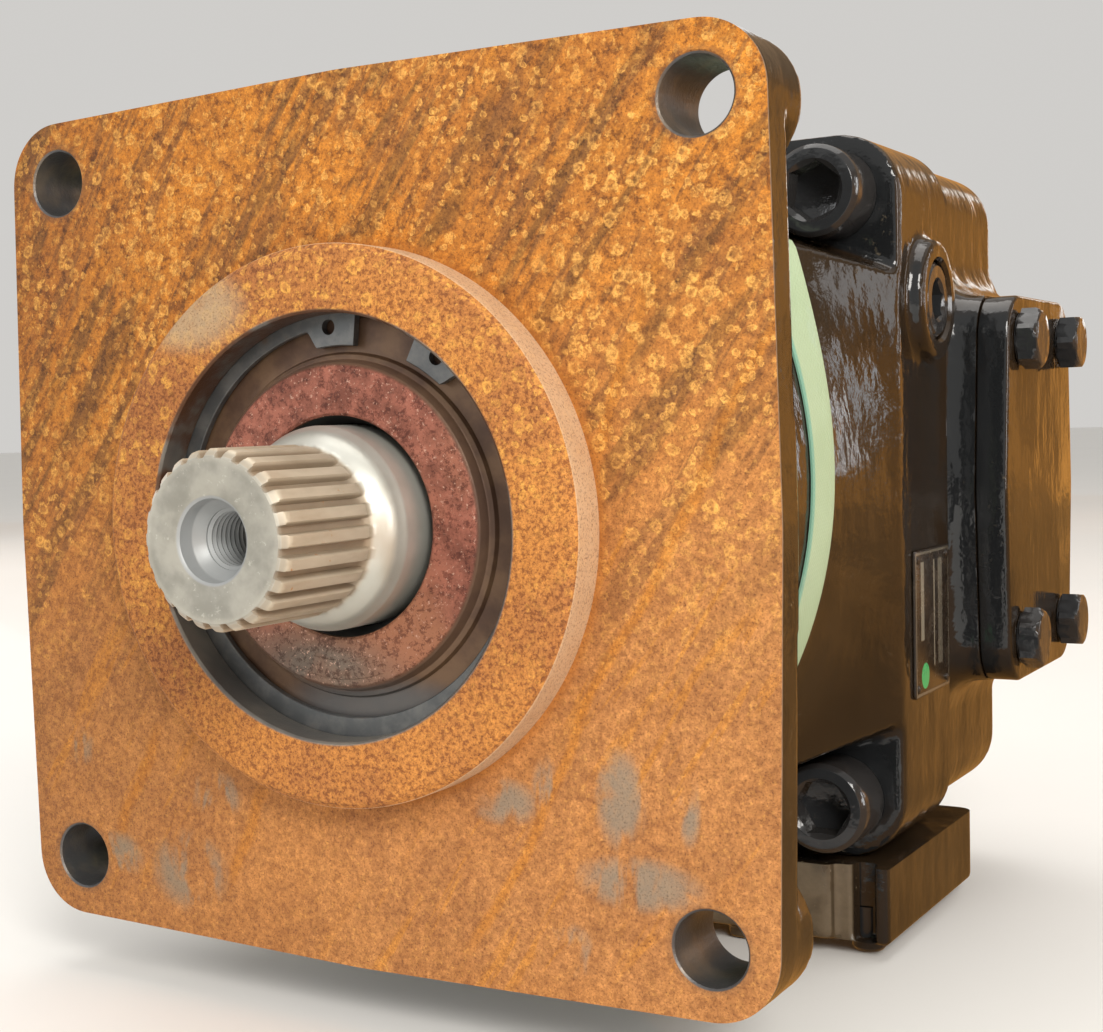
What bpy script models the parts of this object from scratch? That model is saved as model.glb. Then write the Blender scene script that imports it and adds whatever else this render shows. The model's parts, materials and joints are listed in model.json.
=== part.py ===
"""Fixed-displacement swashplate axial-piston hydraulic motor with a four-bolt square
mounting flange, splined shaft, rear port block with blanked side ports, and the complete
rotating group inside.  Metres, +Z up, shaft along Y with the shaft end towards -Y.
The origin is under the middle of the box, on the surface the motor stands on."""
import math
import bpy
import bmesh
from mathutils import Matrix, Vector

MM = 0.001

# ---------------------------------------------------------------- driving dimensions (mm)
# lengths along the shaft are counted from the flange's mounting face, positive rearwards
SHAFT_TIP = -65.0
REAR_END = 305.0
Y_SHIFT = -(SHAFT_TIP + REAR_END) / 2.0      # puts the box's middle at y = 0
Z_LIFT = 152.0                                # height of the shaft axis above the foot rails
GAP = 0.3                                     # play left between touching solids

HOLE_HALF = 112.25      # flange bolt square, half pitch
HOLE_R = 10.5
FLANGE_CORNER_R = 19.5
FLANGE_BULGE_R = 134.4
FLANGE_T = 14.0
PAD_T = 27.0
PILOT_R = 82.55
PILOT_H = 14.0
BORE_R = 62.7
NECK_R = 112.0
EAR_FACE = 147.0
HOUSING_END = 200.0
HALF_X, HALF_Z, CORNER_R = 120.0, 121.0, 21.0
SCREW_X, SCREW_Z = 98.0, 101.0
SCREW_HEAD_R, SCREW_HEAD_H, SCREW_R, SCREW_AF = 15.0, 19.7, 10.0, 17.0
CAVITY_R = 94.0
BLOCK_HALF_X, BLOCK_HALF_Z, BLOCK_CORNER_R = 112.0, 121.0, 20.0
PORT_Y = 252.0
PORT_DY, PORT_DZ = 31.0, 53.2
PAD_FACE = 129.0
COVER_OUT = 140.0
COVER_LOBE_R, COVER_MID_R = 15.5, 51.0
BOLT_R, BOLT_AF, BOLT_HEAD = 6.0, 19.0, 8.0
SWASH = math.radians(14.0)
SWASH_Y = 87.0          # where the ball plane crosses the shaft axis
BARREL_PITCH = 62.0
BALL_PITCH = 2.0 * BARREL_PITCH / (1.0 + math.cos(SWASH))
PISTONS = 9
PISTON_R, PISTON_BORE_R = 14.0, 15.4
BALL_R = 8.3
BARREL_R, BARREL_0, BARREL_1 = 84.0, 113.0, 192.0
TEETH = 24
SPLINE_R, SPLINE_ROOT = 24.8, 22.5
JOURNAL_R = 30.0

# ---------------------------------------------------------------- scene
for ob in list(bpy.data.objects):
    bpy.data.objects.remove(ob, do_unlink=True)
COL = bpy.data.collections.new("hydraulic_motor")
bpy.context.scene.collection.children.link(COL)
WORK = bpy.data.collections.new("cutters")
bpy.context.scene.collection.children.link(WORK)

MATS = {}


def material(name, rgb, rough, metal):
    m = bpy.data.materials.new(name)
    m.use_nodes = True
    b = m.node_tree.nodes["Principled BSDF"]
    b.inputs["Base Color"].default_value = (rgb[0], rgb[1], rgb[2], 1.0)
    b.inputs["Roughness"].default_value = rough
    b.inputs["Metallic"].default_value = metal
    m.diffuse_color = (rgb[0], rgb[1], rgb[2], 1.0)
    MATS[name] = m


material("black_paint", (0.045, 0.032, 0.024), 0.22, 0.0)
material("screw_black", (0.03, 0.03, 0.032), 0.3, 0.6)
material("cover_paint", (0.05, 0.035, 0.026), 0.25, 0.0)
material("carrier_rust", (0.16, 0.075, 0.05), 0.6, 0.3)
material("ring_steel", (0.28, 0.29, 0.30), 0.35, 0.9)
material("shaft_steel", (0.42, 0.40, 0.36), 0.3, 1.0)
material("bearing_steel", (0.55, 0.55, 0.56), 0.2, 1.0)
material("barrel_steel", (0.40, 0.40, 0.41), 0.3, 1.0)
material("bronze", (0.60, 0.42, 0.20), 0.35, 0.9)
material("spring_steel", (0.35, 0.35, 0.37), 0.35, 0.9)
material("seal_rubber", (0.02, 0.02, 0.02), 0.6, 0.0)
material("strap_green", (0.36, 0.52, 0.36), 0.45, 0.0)
material("plate_dark", (0.10, 0.08, 0.06), 0.35, 0.4)


# ---------------------------------------------------------------- tools
def new_object(name, mesh, mat=None, work=False):
    ob = bpy.data.objects.new(name, mesh)
    (WORK if work else COL).objects.link(ob)
    if mat:
        mesh.materials.clear()
        mesh.materials.append(MATS[mat])
    return ob


def from_bmesh(bm, name, mat=None, work=True):
    bmesh.ops.recalc_face_normals(bm, faces=bm.faces)
    me = bpy.data.meshes.new(name)
    bm.to_mesh(me)
    bm.free()
    return new_object(name, me, mat, work)


def baked(ob):
    """the object's evaluated mesh, welded, in place of its modifiers"""
    bpy.context.view_layer.update()
    dg = bpy.context.evaluated_depsgraph_get()
    me = bpy.data.meshes.new_from_object(ob.evaluated_get(dg))
    bm = bmesh.new()
    bm.from_mesh(me)
    bm.transform(ob.matrix_world)
    bmesh.ops.remove_doubles(bm, verts=bm.verts, dist=1e-6)
    bmesh.ops.dissolve_degenerate(bm, dist=1e-7, edges=bm.edges)
    bmesh.ops.recalc_face_normals(bm, faces=bm.faces)
    bm.to_mesh(me)
    bm.free()
    name = ob.name
    mats = [s.material for s in ob.material_slots]
    cols = list(ob.users_collection)
    bpy.data.objects.remove(ob, do_unlink=True)
    new = bpy.data.objects.new(name, me)
    for c in cols:
        c.objects.link(new)
    if mats and not me.materials:
        for m in mats:
            me.materials.append(m)
    return new


def boolean(ob, other, op):
    mod = ob.modifiers.new("bool", "BOOLEAN")
    mod.operation = op
    mod.solver = "EXACT"
    mod.object = other
    res = baked(ob)
    bpy.data.objects.remove(other, do_unlink=True)
    return res


def cut(ob, *others):
    for o in others:
        ob = boolean(ob, o, "DIFFERENCE")
    return ob


def join(ob, *others):
    for o in others:
        ob = boolean(ob, o, "UNION")
    return ob


def meet(ob, other):
    return boolean(ob, other, "INTERSECT")


def finish(ob, name, mat, smooth=35.0):
    """names a finished solid, gives it its material and moves it to the row frame"""
    ob.name = name
    ob.data.name = name
    for c in list(ob.users_collection):
        c.objects.unlink(ob)
    COL.objects.link(ob)
    ob.data.materials.clear()
    ob.data.materials.append(MATS[mat])
    ob.data.shade_smooth()
    ob.data.set_sharp_from_angle(angle=math.radians(smooth))
    return ob


def frame_matrix(origin, axis):
    """local +Z along axis, at origin; both in working millimetres"""
    z = Vector(axis).normalized()
    q = Vector((0, 0, 1)).rotation_difference(z)
    return Matrix.Translation(Vector(origin)) @ q.to_matrix().to_4x4()


def turned(profile, steps, origin=(0, 0, 0), axis=(0, 1, 0), name="turned", closed=True):
    """profile of (height, radius) in mm revolved about axis through origin, by a Screw"""
    me = bpy.data.meshes.new(name)
    bm = bmesh.new()
    vs = [bm.verts.new((r * MM, 0.0, h * MM)) for h, r in profile]
    for a, b in zip(vs, vs[1:]):
        bm.edges.new((a, b))
    if closed:
        bm.edges.new((vs[-1], vs[0]))
    bm.to_mesh(me)
    bm.free()
    ob = bpy.data.objects.new(name, me)
    WORK.objects.link(ob)
    mod = ob.modifiers.new("screw", "SCREW")
    mod.axis = "Z"
    mod.angle = 2 * math.pi
    mod.steps = steps
    mod.render_steps = steps
    mod.use_merge_vertices = True
    mod.merge_threshold = 1e-5
    mod.use_smooth_shade = False
    ob.matrix_world = scaled(frame_matrix(origin, axis))
    return baked(ob)


def scaled(m):
    m = m.copy()
    m.translation = m.translation * MM
    return m


def solid_turned(profile, steps, origin=(0, 0, 0), axis=(0, 1, 0), name="turned"):
    """open profile whose two ends lie on the axis"""
    return turned(profile, steps, origin, axis, name, closed=False)


def cylinder(r, h0, h1, origin, axis, verts=32, name="cyl", twist=0.0):
    bm = bmesh.new()
    bmesh.ops.create_cone(bm, cap_ends=True, cap_tris=False, segments=verts,
                          radius1=r * MM, radius2=r * MM, depth=(h1 - h0) * MM)
    bm.transform(Matrix.Rotation(twist, 4, "Z"))
    bm.transform(Matrix.Translation((0, 0, (h0 + h1) / 2 * MM)))
    bm.transform(scaled(frame_matrix(origin, axis)))
    return from_bmesh(bm, name)


def box(lo, hi, name="box"):
    bm = bmesh.new()
    bmesh.ops.create_cube(bm, size=1.0)
    size = [(b - a) * MM for a, b in zip(lo, hi)]
    mid = [(a + b) / 2 * MM for a, b in zip(lo, hi)]
    bm.transform(Matrix.Translation(mid) @ Matrix.Diagonal((*size, 1.0)))
    return from_bmesh(bm, name)


def prism(outline, c0, c1, plane="xz", name="prism"):
    """outline of (a, b) in mm, extruded between c0 and c1 along the third axis"""
    def p(a, b, c):
        if plane == "xz":
            return (a * MM, c * MM, b * MM)
        if plane == "yz":
            return (c * MM, a * MM, b * MM)
        return (a * MM, b * MM, c * MM)
    bm = bmesh.new()
    vs = [bm.verts.new(p(a, b, c0)) for a, b in outline]
    f = bm.faces.new(vs)
    ext = bmesh.ops.extrude_face_region(bm, geom=[f])
    moved = [g for g in ext["geom"] if isinstance(g, bmesh.types.BMVert)]
    d = Vector(p(0, 0, c1)) - Vector(p(0, 0, c0))
    bmesh.ops.translate(bm, verts=moved, vec=d)
    return from_bmesh(bm, name)


def hull2d(points):
    pts = sorted(set((round(a, 6), round(b, 6)) for a, b in points))
    def half(seq):
        out = []
        for p in seq:
            while len(out) > 1 and ((out[-1][0] - out[-2][0]) * (p[1] - out[-2][1])
                                    - (out[-1][1] - out[-2][1]) * (p[0] - out[-2][0])) <= 1e-9:
                out.pop()
            out.append(p)
        return out[:-1]
    return half(pts) + half(reversed(pts))


def disc_points(c, r, n):
    return [(c[0] + r * math.cos(2 * math.pi * (i + 0.5) / n),
             c[1] + r * math.sin(2 * math.pi * (i + 0.5) / n)) for i in range(n)]


def rounded_rect(hx, hz, r, arc=4, side=7):
    """points round a rounded rectangle, with extra points along its sides"""
    out = []
    corners = [(hx - r, hz - r, 0), (-(hx - r), hz - r, 90),
               (-(hx - r), -(hz - r), 180), (hx - r, -(hz - r), 270)]
    for k, (cx, cz, a0) in enumerate(corners):
        for i in range(arc + 1):
            a = math.radians(a0 + 90.0 * i / arc)
            out.append((cx + r * math.cos(a), cz + r * math.sin(a)))
        nx, nz, n0 = corners[(k + 1) % 4]
        a = math.radians(a0 + 90.0)
        s = (cx + r * math.cos(a), cz + r * math.sin(a))
        b = math.radians(n0)
        e = (nx + r * math.cos(b), nz + r * math.sin(b))
        for i in range(1, side):
            t = i / side
            out.append((s[0] + (e[0] - s[0]) * t, s[1] + (e[1] - s[1]) * t))
    return out


def loft(sections, name="loft"):
    """sections: list of (y, [(x, z), ...]) with equal point counts"""
    bm = bmesh.new()
    rings = [[bm.verts.new((x * MM, y * MM, z * MM)) for x, z in pts] for y, pts in sections]
    n = len(rings[0])
    for r0, r1 in zip(rings, rings[1:]):
        for i in range(n):
            j = (i + 1) % n
            bm.faces.new((r0[i], r0[j], r1[j], r1[i]))
    bm.faces.new(rings[0])
    bm.faces.new(rings[-1])
    return from_bmesh(bm, name)


# ---------------------------------------------------------------- the housing's outer surface
SQUARE = rounded_rect(HALF_X, HALF_Z, CORNER_R)
FLARE_0 = 45.0


def square_radius(theta):
    c, s = abs(math.cos(theta)), abs(math.sin(theta))
    t = HALF_X / c if c > 1e-9 else 1e9
    if t * s <= HALF_Z - CORNER_R:
        return t
    t = HALF_Z / s if s > 1e-9 else 1e9
    if t * c <= HALF_X - CORNER_R:
        return t
    cx, cz = HALF_X - CORNER_R, HALF_Z - CORNER_R
    b = cx * c + cz * s
    return b + math.sqrt(max(0.0, b * b - (cx * cx + cz * cz) + CORNER_R ** 2))


def neck_radius(theta, y):
    t = min(1.0, max(0.0, (y - FLARE_0) / (EAR_FACE - FLARE_0)))
    return NECK_R + (square_radius(theta) - NECK_R) * t ** 2.2


def neck_section(y):
    out = []
    for x, z in SQUARE:
        th = math.atan2(z, x)
        r = neck_radius(th, y)
        out.append((r * math.cos(th), r * math.sin(th)))
    return out


# ================================================================ MAIN HOUSING
outline = []
for sx in (-1, 1):
    for sz in (-1, 1):
        outline += disc_points((sx * HOLE_HALF, sz * HOLE_HALF), FLANGE_CORNER_R, 20)
outline += disc_points((0, 0), FLANGE_BULGE_R, 40)
housing = prism(hull2d(outline), 0.0, FLANGE_T, name="flange")
for sx in (-1, 1):
    for sz in (-1, 1):
        pad = hull2d(disc_points((sx * HOLE_HALF, sz * HOLE_HALF), FLANGE_CORNER_R - 0.05, 20)
                     + disc_points((sx * 84, sz * 84), 30.0, 10))
        housing = join(housing, prism(pad, FLANGE_T - 4.0, PAD_T))
neck = loft([(y, neck_section(y)) for y in (5, 45, 75, 90, 103, 116, 130)]
            + [(EAR_FACE, SQUARE), (HOUSING_END, SQUARE)], "neck")
housing = join(housing, neck)
housing = join(housing, solid_turned(
    [(-PILOT_H, 0), (-PILOT_H, PILOT_R - 2.0), (-PILOT_H + 2.0, PILOT_R), (6.0, PILOT_R),
     (6.0, 0)], 48, name="pilot"))
for sx in (-1, 1):
    for sz in (-1, 1):
        pts = disc_points((SCREW_X, SCREW_Z), SCREW_HEAD_R + 1.5, 12)
        pts += [(135, 67.5), (170, 67.5), (170, 170), (67.5, 170), (67.5, 136)]
        pts = [(sx * a, sz * b) for a, b in hull2d(pts)]
        housing = cut(housing, prism(pts, 40.0, EAR_FACE))
housing = join(housing, cylinder(20.0, 108.0, 125.5, (0, 173, 66), (1, 0, 0), 24))
cavity = solid_turned(
    [(-20, 0), (-20, BORE_R), (-3.0, BORE_R), (-3.0, BORE_R + 3.0), (0.2, BORE_R + 3.0),
     (0.2, BORE_R), (14.3, BORE_R), (14.3, 55.3), (38.3, 55.3), (38.3, 48.0), (45.0, 48.0),
     (45.0, CAVITY_R), (HOUSING_END + 2, CAVITY_R), (HOUSING_END + 2, 0)], 44, name="cavity")
housing = cut(housing, cavity)
for sx in (-1, 1):
    for sz in (-1, 1):
        housing = cut(housing,
                      cylinder(HOLE_R, -5, 40, (sx * HOLE_HALF, 0, sz * HOLE_HALF), (0, 1, 0), 16),
                      cylinder(SCREW_R + 0.35, 140, 205, (sx * SCREW_X, 0, sz * SCREW_Z), (0, 1, 0), 12))
housing = cut(housing, cylinder(13.3, 112.0, 130.0, (0, 173, 66), (1, 0, 0), 14))
finish(housing, "main_housing", "black_paint")

# ================================================================ PORT BLOCK
full = rounded_rect(BLOCK_HALF_X, BLOCK_HALF_Z, BLOCK_CORNER_R, 4, 1)
small = rounded_rect(BLOCK_HALF_X - 13, BLOCK_HALF_Z - 13, BLOCK_CORNER_R - 8, 4, 1)
small2 = rounded_rect(BLOCK_HALF_X - 4, BLOCK_HALF_Z - 4, BLOCK_CORNER_R - 3, 4, 1)
block = loft([(HOUSING_END + GAP, full), (REAR_END - 14, full), (REAR_END - 5, small2),
              (REAR_END, small)], "block")


def cover_outline(lobe, mid):
    pts = disc_points((PORT_Y, 0), mid, 24)
    for a in (-1, 1):
        for b in (-1, 1):
            pts += disc_points((PORT_Y + a * PORT_DY, b * PORT_DZ), lobe, 12)
    return hull2d(pts)


def kidney(side, r0, r1, half_deg=58, n=6):
    out = []
    for i in range(n + 1):
        a = math.radians(-half_deg + 2 * half_deg * i / n)
        out.append((side * r1 * math.cos(a), r1 * math.sin(a)))
    for i in range(n + 1):
        a = math.radians(half_deg - 2 * half_deg * i / n)
        out.append((side * r0 * math.cos(a), r0 * math.sin(a)))
    return out


for s in (-1, 1):
    block = join(block, prism(cover_outline(COVER_LOBE_R + 0.5, COVER_MID_R), s * 100, s * PAD_FACE, "yz"))
block = cut(block, solid_turned([(195, 0), (195, 40.5), (224.3, 40.5), (224.3, 24), (232, 24), (232, 0)], 28))
for s in (-1, 1):
    block = cut(block, prism(kidney(s, 55, 69), 195, 240, "xz"))
    block = cut(block, cylinder(24.0, 58, 135, (0, PORT_Y, 0), (s, 0, 0), 16))
    ring = turned([(PAD_FACE - 2.9, 31.0), (PAD_FACE - 2.9, 35.4), (PAD_FACE + 3, 35.4), (PAD_FACE + 3, 31.0)],
                  18, (0, PORT_Y, 0), (s, 0, 0))
    block = cut(block, ring)
    for a in (-1, 1):
        for b in (-1, 1):
            block = cut(block, cylinder(BOLT_R + 0.35, 103, 135,
                                        (0, PORT_Y + a * PORT_DY, b * PORT_DZ), (s, 0, 0), 6))
for sx in (-1, 1):
    for sz in (-1, 1):
        block = cut(block, cylinder(SCREW_R + 0.35, 195, 252, (sx * SCREW_X, 0, sz * SCREW_Z), (0, 1, 0), 12))
block = cut(block, turned([(195, 96.8), (195, 101.2), (203.4, 101.2), (203.4, 96.8)], 28))
finish(block, "port_block", "black_paint")

o = turned([(201.8 + 1.2 * math.sin(a), 99.0 + 1.2 * math.cos(a))
            for a in [2 * math.pi * i / 6 for i in range(6)]], 28)
finish(o, "housing_o_ring", "seal_rubber")

# ================================================================ HOUSING SCREWS
n = 0
for sx, sz in ((1, 1), (-1, 1), (1, -1), (-1, -1)):
    n += 1
    h0 = EAR_FACE - GAP - SCREW_HEAD_H
    sc = solid_turned([(h0, 0), (h0, SCREW_HEAD_R - 1.6), (h0 + 1.6, SCREW_HEAD_R),
                       (EAR_FACE - GAP, SCREW_HEAD_R), (EAR_FACE - GAP, SCREW_R),
                       (250, SCREW_R), (250, 0)], 16,
                      (sx * SCREW_X, 0, sz * SCREW_Z))
    sc = cut(sc, cylinder(SCREW_AF / math.sqrt(3), h0 - 2, h0 + 10, (sx * SCREW_X, 0, sz * SCREW_Z), (0, 1, 0), 6))
    finish(sc, "housing_screw_%d" % n, "screw_black")

# ================================================================ PORT COVERS AND THEIR BOLTS
for s, side in ((1, "right"), (-1, "left")):
    plate = prism(cover_outline(COVER_LOBE_R, COVER_MID_R - 0.5), s * (PAD_FACE + GAP), s * COVER_OUT, "yz")
    for a in (-1, 1):
        for b in (-1, 1):
            plate = cut(plate, cylinder(BOLT_R + 0.4, 120, 150,
                                        (0, PORT_Y + a * PORT_DY, b * PORT_DZ), (s, 0, 0), 6))
    finish(plate, "port_cover_" + side, "cover_paint")
    o = turned([(PAD_FACE - 1.45 + 1.2 * math.sin(a), 33.2 + 1.2 * math.cos(a))
                for a in [2 * math.pi * i / 6 for i in range(6)]], 18, (0, PORT_Y, 0), (s, 0, 0))
    finish(o, "port_o_ring_" + side, "seal_rubber")
    k = 0
    for a, b in ((-1, 1), (1, 1), (-1, -1), (1, -1)):
        k += 1
        c = (0, PORT_Y + a * PORT_DY, b * PORT_DZ)
        hexa = cylinder(BOLT_AF / math.sqrt(3), COVER_OUT + GAP, COVER_OUT + GAP + BOLT_HEAD, c, (s, 0, 0), 6)
        dome = solid_turned([(COVER_OUT - 1, 0), (COVER_OUT - 1, 14), (COVER_OUT + GAP + BOLT_HEAD - 1.9, 12.2),
                             (COVER_OUT + GAP + BOLT_HEAD, 9.2), (COVER_OUT + GAP + BOLT_HEAD, 0)],
                            12, c, (s, 0, 0))
        hexa = meet(hexa, dome)
        hexa = join(hexa, cylinder(BOLT_R, 105, COVER_OUT + 2, c, (s, 0, 0), 6))
        finish(hexa, "cover_bolt_%s_%d" % (side, k), "screw_black")

# ================================================================ LOWER BLOCK, PLUGS, NAMEPLATE
low = hull2d([(-117.5, 143), (-117.5, 240), (117.5, 240), (117.5, 143),
              (-111, 137), (111, 137), (0, 137)])
lower = prism(low, -147.0, -HALF_Z - GAP, "xy", "lower")
lower = join(lower, box((-99, 133.5, -147.0), (99, 140, -HALF_Z - GAP)))
for s in (-1, 1):
    lower = join(lower, box((min(s * 60, s * 84), 138, -Z_LIFT), (max(s * 60, s * 84), 238, -146)))
lower = cut(lower, cylinder(5.9, -150, -136, (107, 148, 0), (0, 0, 1), 16))
finish(lower, "lower_block", "black_paint")
pl = solid_turned([(-136.5, 0), (-136.5, 5.5), (-150.9, 5.5), (-151.7, 4.8), (-151.7, 0)][::-1], 16, (107, 148, 0), (0, 0, 1))
finish(pl, "bottom_plug", "screw_black")
sp = solid_turned([(112.4, 0), (112.4, 12.9), (124.4, 12.9), (125.2, 12.1), (125.2, 0)], 32, (0, 173, 66), (1, 0, 0))
sp = cut(sp, cylinder(10 / math.sqrt(3), 118, 130, (0, 173, 66), (1, 0, 0), 6))
finish(sp, "side_plug", "screw_black")
finish(box((HALF_X + GAP, 157, -68), (HALF_X + 1.1, 197, -18)), "nameplate", "plate_dark")

# ================================================================ STRAP ROUND THE NECK
STRAP_HALF, STRAP_T, STRAP_GAP = 8.2, 1.5, 0.8
NECK_YS = (5.0, 45.0, 75.0, 90.0, 103.0, 116.0, 130.0, 147.0)


def strap_y(theta):
    """the band climbs rearwards towards its top"""
    return 88.0 + 20.0 * math.sin(theta)


def lofted_radius(theta, y):
    """the neck as it is lofted: straight between one section and the next"""
    for y0, y1 in zip(NECK_YS, NECK_YS[1:]):
        if y <= y1:
            t = (y - y0) / (y1 - y0)
            return neck_radius(theta, y0) * (1 - t) + neck_radius(theta, y1) * t
    return neck_radius(theta, y)


def strap_section(theta):
    y0 = strap_y(theta) - STRAP_HALF
    y1 = strap_y(theta) + STRAP_HALF
    inside = [y for y in NECK_YS if y0 < y < y1]
    lift = max([0.0] + [lofted_radius(theta, y) - (lofted_radius(theta, y0) + (lofted_radius(theta, y1)
               - lofted_radius(theta, y0)) * (y - y0) / (y1 - y0)) for y in inside])
    ra = lofted_radius(theta, y0) + STRAP_GAP + lift
    rb = lofted_radius(theta, y1) + STRAP_GAP + lift
    return [(y0, ra), (y1, rb), (y1, rb + STRAP_T), (y0, ra + STRAP_T)]


bm = bmesh.new()
rings = []
angles = [math.atan2(z, x) for x, z in SQUARE]
M = len(angles)
for th in angles:
    rings.append([bm.verts.new((r * math.cos(th) * MM, y * MM, r * math.sin(th) * MM))
                  for y, r in strap_section(th)])
for i in range(M):
    a, b = rings[i], rings[(i + 1) % M]
    for k in range(4):
        bm.faces.new((a[k], a[(k + 1) % 4], b[(k + 1) % 4], b[k]))
finish(from_bmesh(bm, "strap"), "neck_strap", "strap_green")

# ================================================================ SHAFT SEAL SET
carrier = turned([(-6, 32.8), (-6, 47.2), (-5, 48.3), (0.6, 51.0), (0.6, 61.5), (1.4, 62.3),
                  (7.0, 62.3), (7.0, 59.2), (10.4, 59.2), (10.4, 62.3), (14.0, 62.3), (14.0, 42.0),
                  (-3.0, 42.0), (-3.0, 32.8)], 40)
finish(carrier, "seal_carrier", "carrier_rust")
o = turned([(8.7 + 1.25 * math.sin(a), 61.15 + 1.25 * math.cos(a))
            for a in [2 * math.pi * i / 6 for i in range(6)]], 28)
finish(o, "carrier_o_ring", "seal_rubber")
seal = turned([(-2.7, 33.0), (-2.7, 41.6), (7.0, 41.6), (7.0, 40.0), (0.5, 39.0), (0.5, 34.0),
               (4.0, 32.5), (4.0, 30.5), (2.6, 30.4)], 30)
finish(seal, "shaft_seal", "seal_rubber")

# internal retaining ring: an open ring with an eyelet at each end
LUG_A, LUG_B = math.radians(93.0), math.radians(55.0)
LUG_R, EYE_R = 59.0, 59.0


def ring_outline():
    out = []
    steps = 32
    span = 2 * math.pi - (LUG_A - LUG_B)
    for i in range(steps + 1):
        a = LUG_A + span * i / steps
        out.append((65.2 * math.cos(a), 65.2 * math.sin(a)))
    for i in range(steps + 1):
        a = LUG_A + span * (steps - i) / steps
        mid = 0.5 * (LUG_A + LUG_B) + math.pi
        r = 58.6 - 1.6 * 0.5 * (1 + math.cos(a - mid))
        out.append((r * math.cos(a), r * math.sin(a)))
    return out


ringo = prism(ring_outline(), -2.7, -0.1, "xz", "ring")
for a in (LUG_A, LUG_B):
    c = (LUG_R * math.cos(a), LUG_R * math.sin(a))
    ringo = join(ringo, cylinder(6.0, -2.7, -0.1, (c[0], 0, c[1]), (0, 1, 0), 10))
for a in (LUG_A, LUG_B):
    c = (EYE_R * math.cos(a), EYE_R * math.sin(a))
    ringo = cut(ringo, cylinder(2.3, -6, 3, (c[0], 0, c[1]), (0, 1, 0), 6))
finish(ringo, "snap_ring", "ring_steel")

# ================================================================ DRIVE SHAFT
teeth = []
for i in range(TEETH):
    for f, r in ((-0.29, SPLINE_ROOT), (-0.20, SPLINE_R), (0.20, SPLINE_R), (0.29, SPLINE_ROOT)):
        a = 2 * math.pi * (i + f) / TEETH
        teeth.append((r * math.cos(a), r * math.sin(a)))
spline = prism(teeth, SHAFT_TIP, -18.0, "xz", "spline")
env = solid_turned([(SHAFT_TIP - 1, 0), (SHAFT_TIP - 0.0, SPLINE_R - 2.35), (SHAFT_TIP + 2.35, SPLINE_R),
                    (SHAFT_TIP + 2.36, SPLINE_R + 3), (-16, SPLINE_R + 3), (-16, 0)], 24)
spline = meet(spline, env)
body = solid_turned([(-26, 0), (-26, SPLINE_ROOT - 1.5), (-24.5, SPLINE_ROOT), (-21.5, 25.6), (-18.5, 28.6),
                     (-16, 29.7), (-14, JOURNAL_R), (38.6, JOURNAL_R), (38.6, 25.0), (200, 25.0), (200, 20.0),
                     (226.5, 20.0), (228, 18.5), (228, 0)], 30, name="body")
shaft = join(body, spline)
shaft = cut(shaft, solid_turned([(SHAFT_TIP - 3, 0), (SHAFT_TIP - 3, 11.43), (SHAFT_TIP + 6, 11.43),
                                 (SHAFT_TIP + 8, 8.0), (SHAFT_TIP + 38, 8.0), (SHAFT_TIP + 42, 0)], 12))
finish(shaft, "drive_shaft", "shaft_steel")


# ================================================================ BEARINGS
def bearing(prefix, y0, y1, ri, rio, roi, ro, count, steps):
    finish(turned([(y0, ri), (y0, rio), (y1, rio), (y1, ri)], steps), prefix + "_inner", "bearing_steel")
    finish(turned([(y0, roi), (y0, ro), (y1, ro), (y1, roi)], steps), prefix + "_outer", "bearing_steel")
    rm = (rio + roi) / 2
    rr = (roi - rio) / 2 - 0.4
    cage = turned([(y0 + 0.8, rm - 1.6), (y0 + 0.8, rm + 1.6), (y0 + 2.6, rm + 1.6), (y0 + 2.6, rm - 1.6)], 16)
    cage2 = turned([(y1 - 2.6, rm - 1.6), (y1 - 2.6, rm + 1.6), (y1 - 0.8, rm + 1.6), (y1 - 0.8, rm - 1.6)], 16)
    for i in range(count):
        a = 2 * math.pi * i / count
        r = cylinder(rr, y0 + 1.8, y1 - 1.8, (rm * math.cos(a), 0, rm * math.sin(a)), (0, 1, 0), 6)
        cage = join(cage, r)
    cage = join(cage, cage2)
    finish(cage, prefix + "_rollers", "bearing_steel")


bearing("front_bearing", 16.0, 38.0, 30.4, 37.0, 48.7, 55.0, 8, 32)
bearing("rear_bearing", 203.0, 223.0, 20.4, 26.0, 33.9, 40.0, 8, 28)

# ================================================================ SWASH PLATE
NRM = Vector((0.0, math.cos(SWASH), math.sin(SWASH)))
E1 = Vector((1.0, 0.0, 0.0))
E2 = Vector((0.0, -math.sin(SWASH), math.cos(SWASH)))
CENTRE = Vector((0.0, SWASH_Y, 0.0))
sw = turned([(45.3, 38.0), (45.3, 84.0), (118.0, 84.0), (118.0, 38.0)], 32)
face = CENTRE - NRM * 14.3
slab_c = face + NRM * 60.0
slab = bmesh.new()
bmesh.ops.create_cube(slab, size=1.0)
slab.transform(scaled(Matrix.Translation(slab_c) @ Vector((0, 0, 1)).rotation_difference(NRM).to_matrix().to_4x4())
               @ Matrix.Diagonal((0.3, 0.3, 0.12, 1.0)))
sw = cut(sw, from_bmesh(slab, "slab"))
finish(sw, "swash_plate", "bearing_steel")

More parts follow.
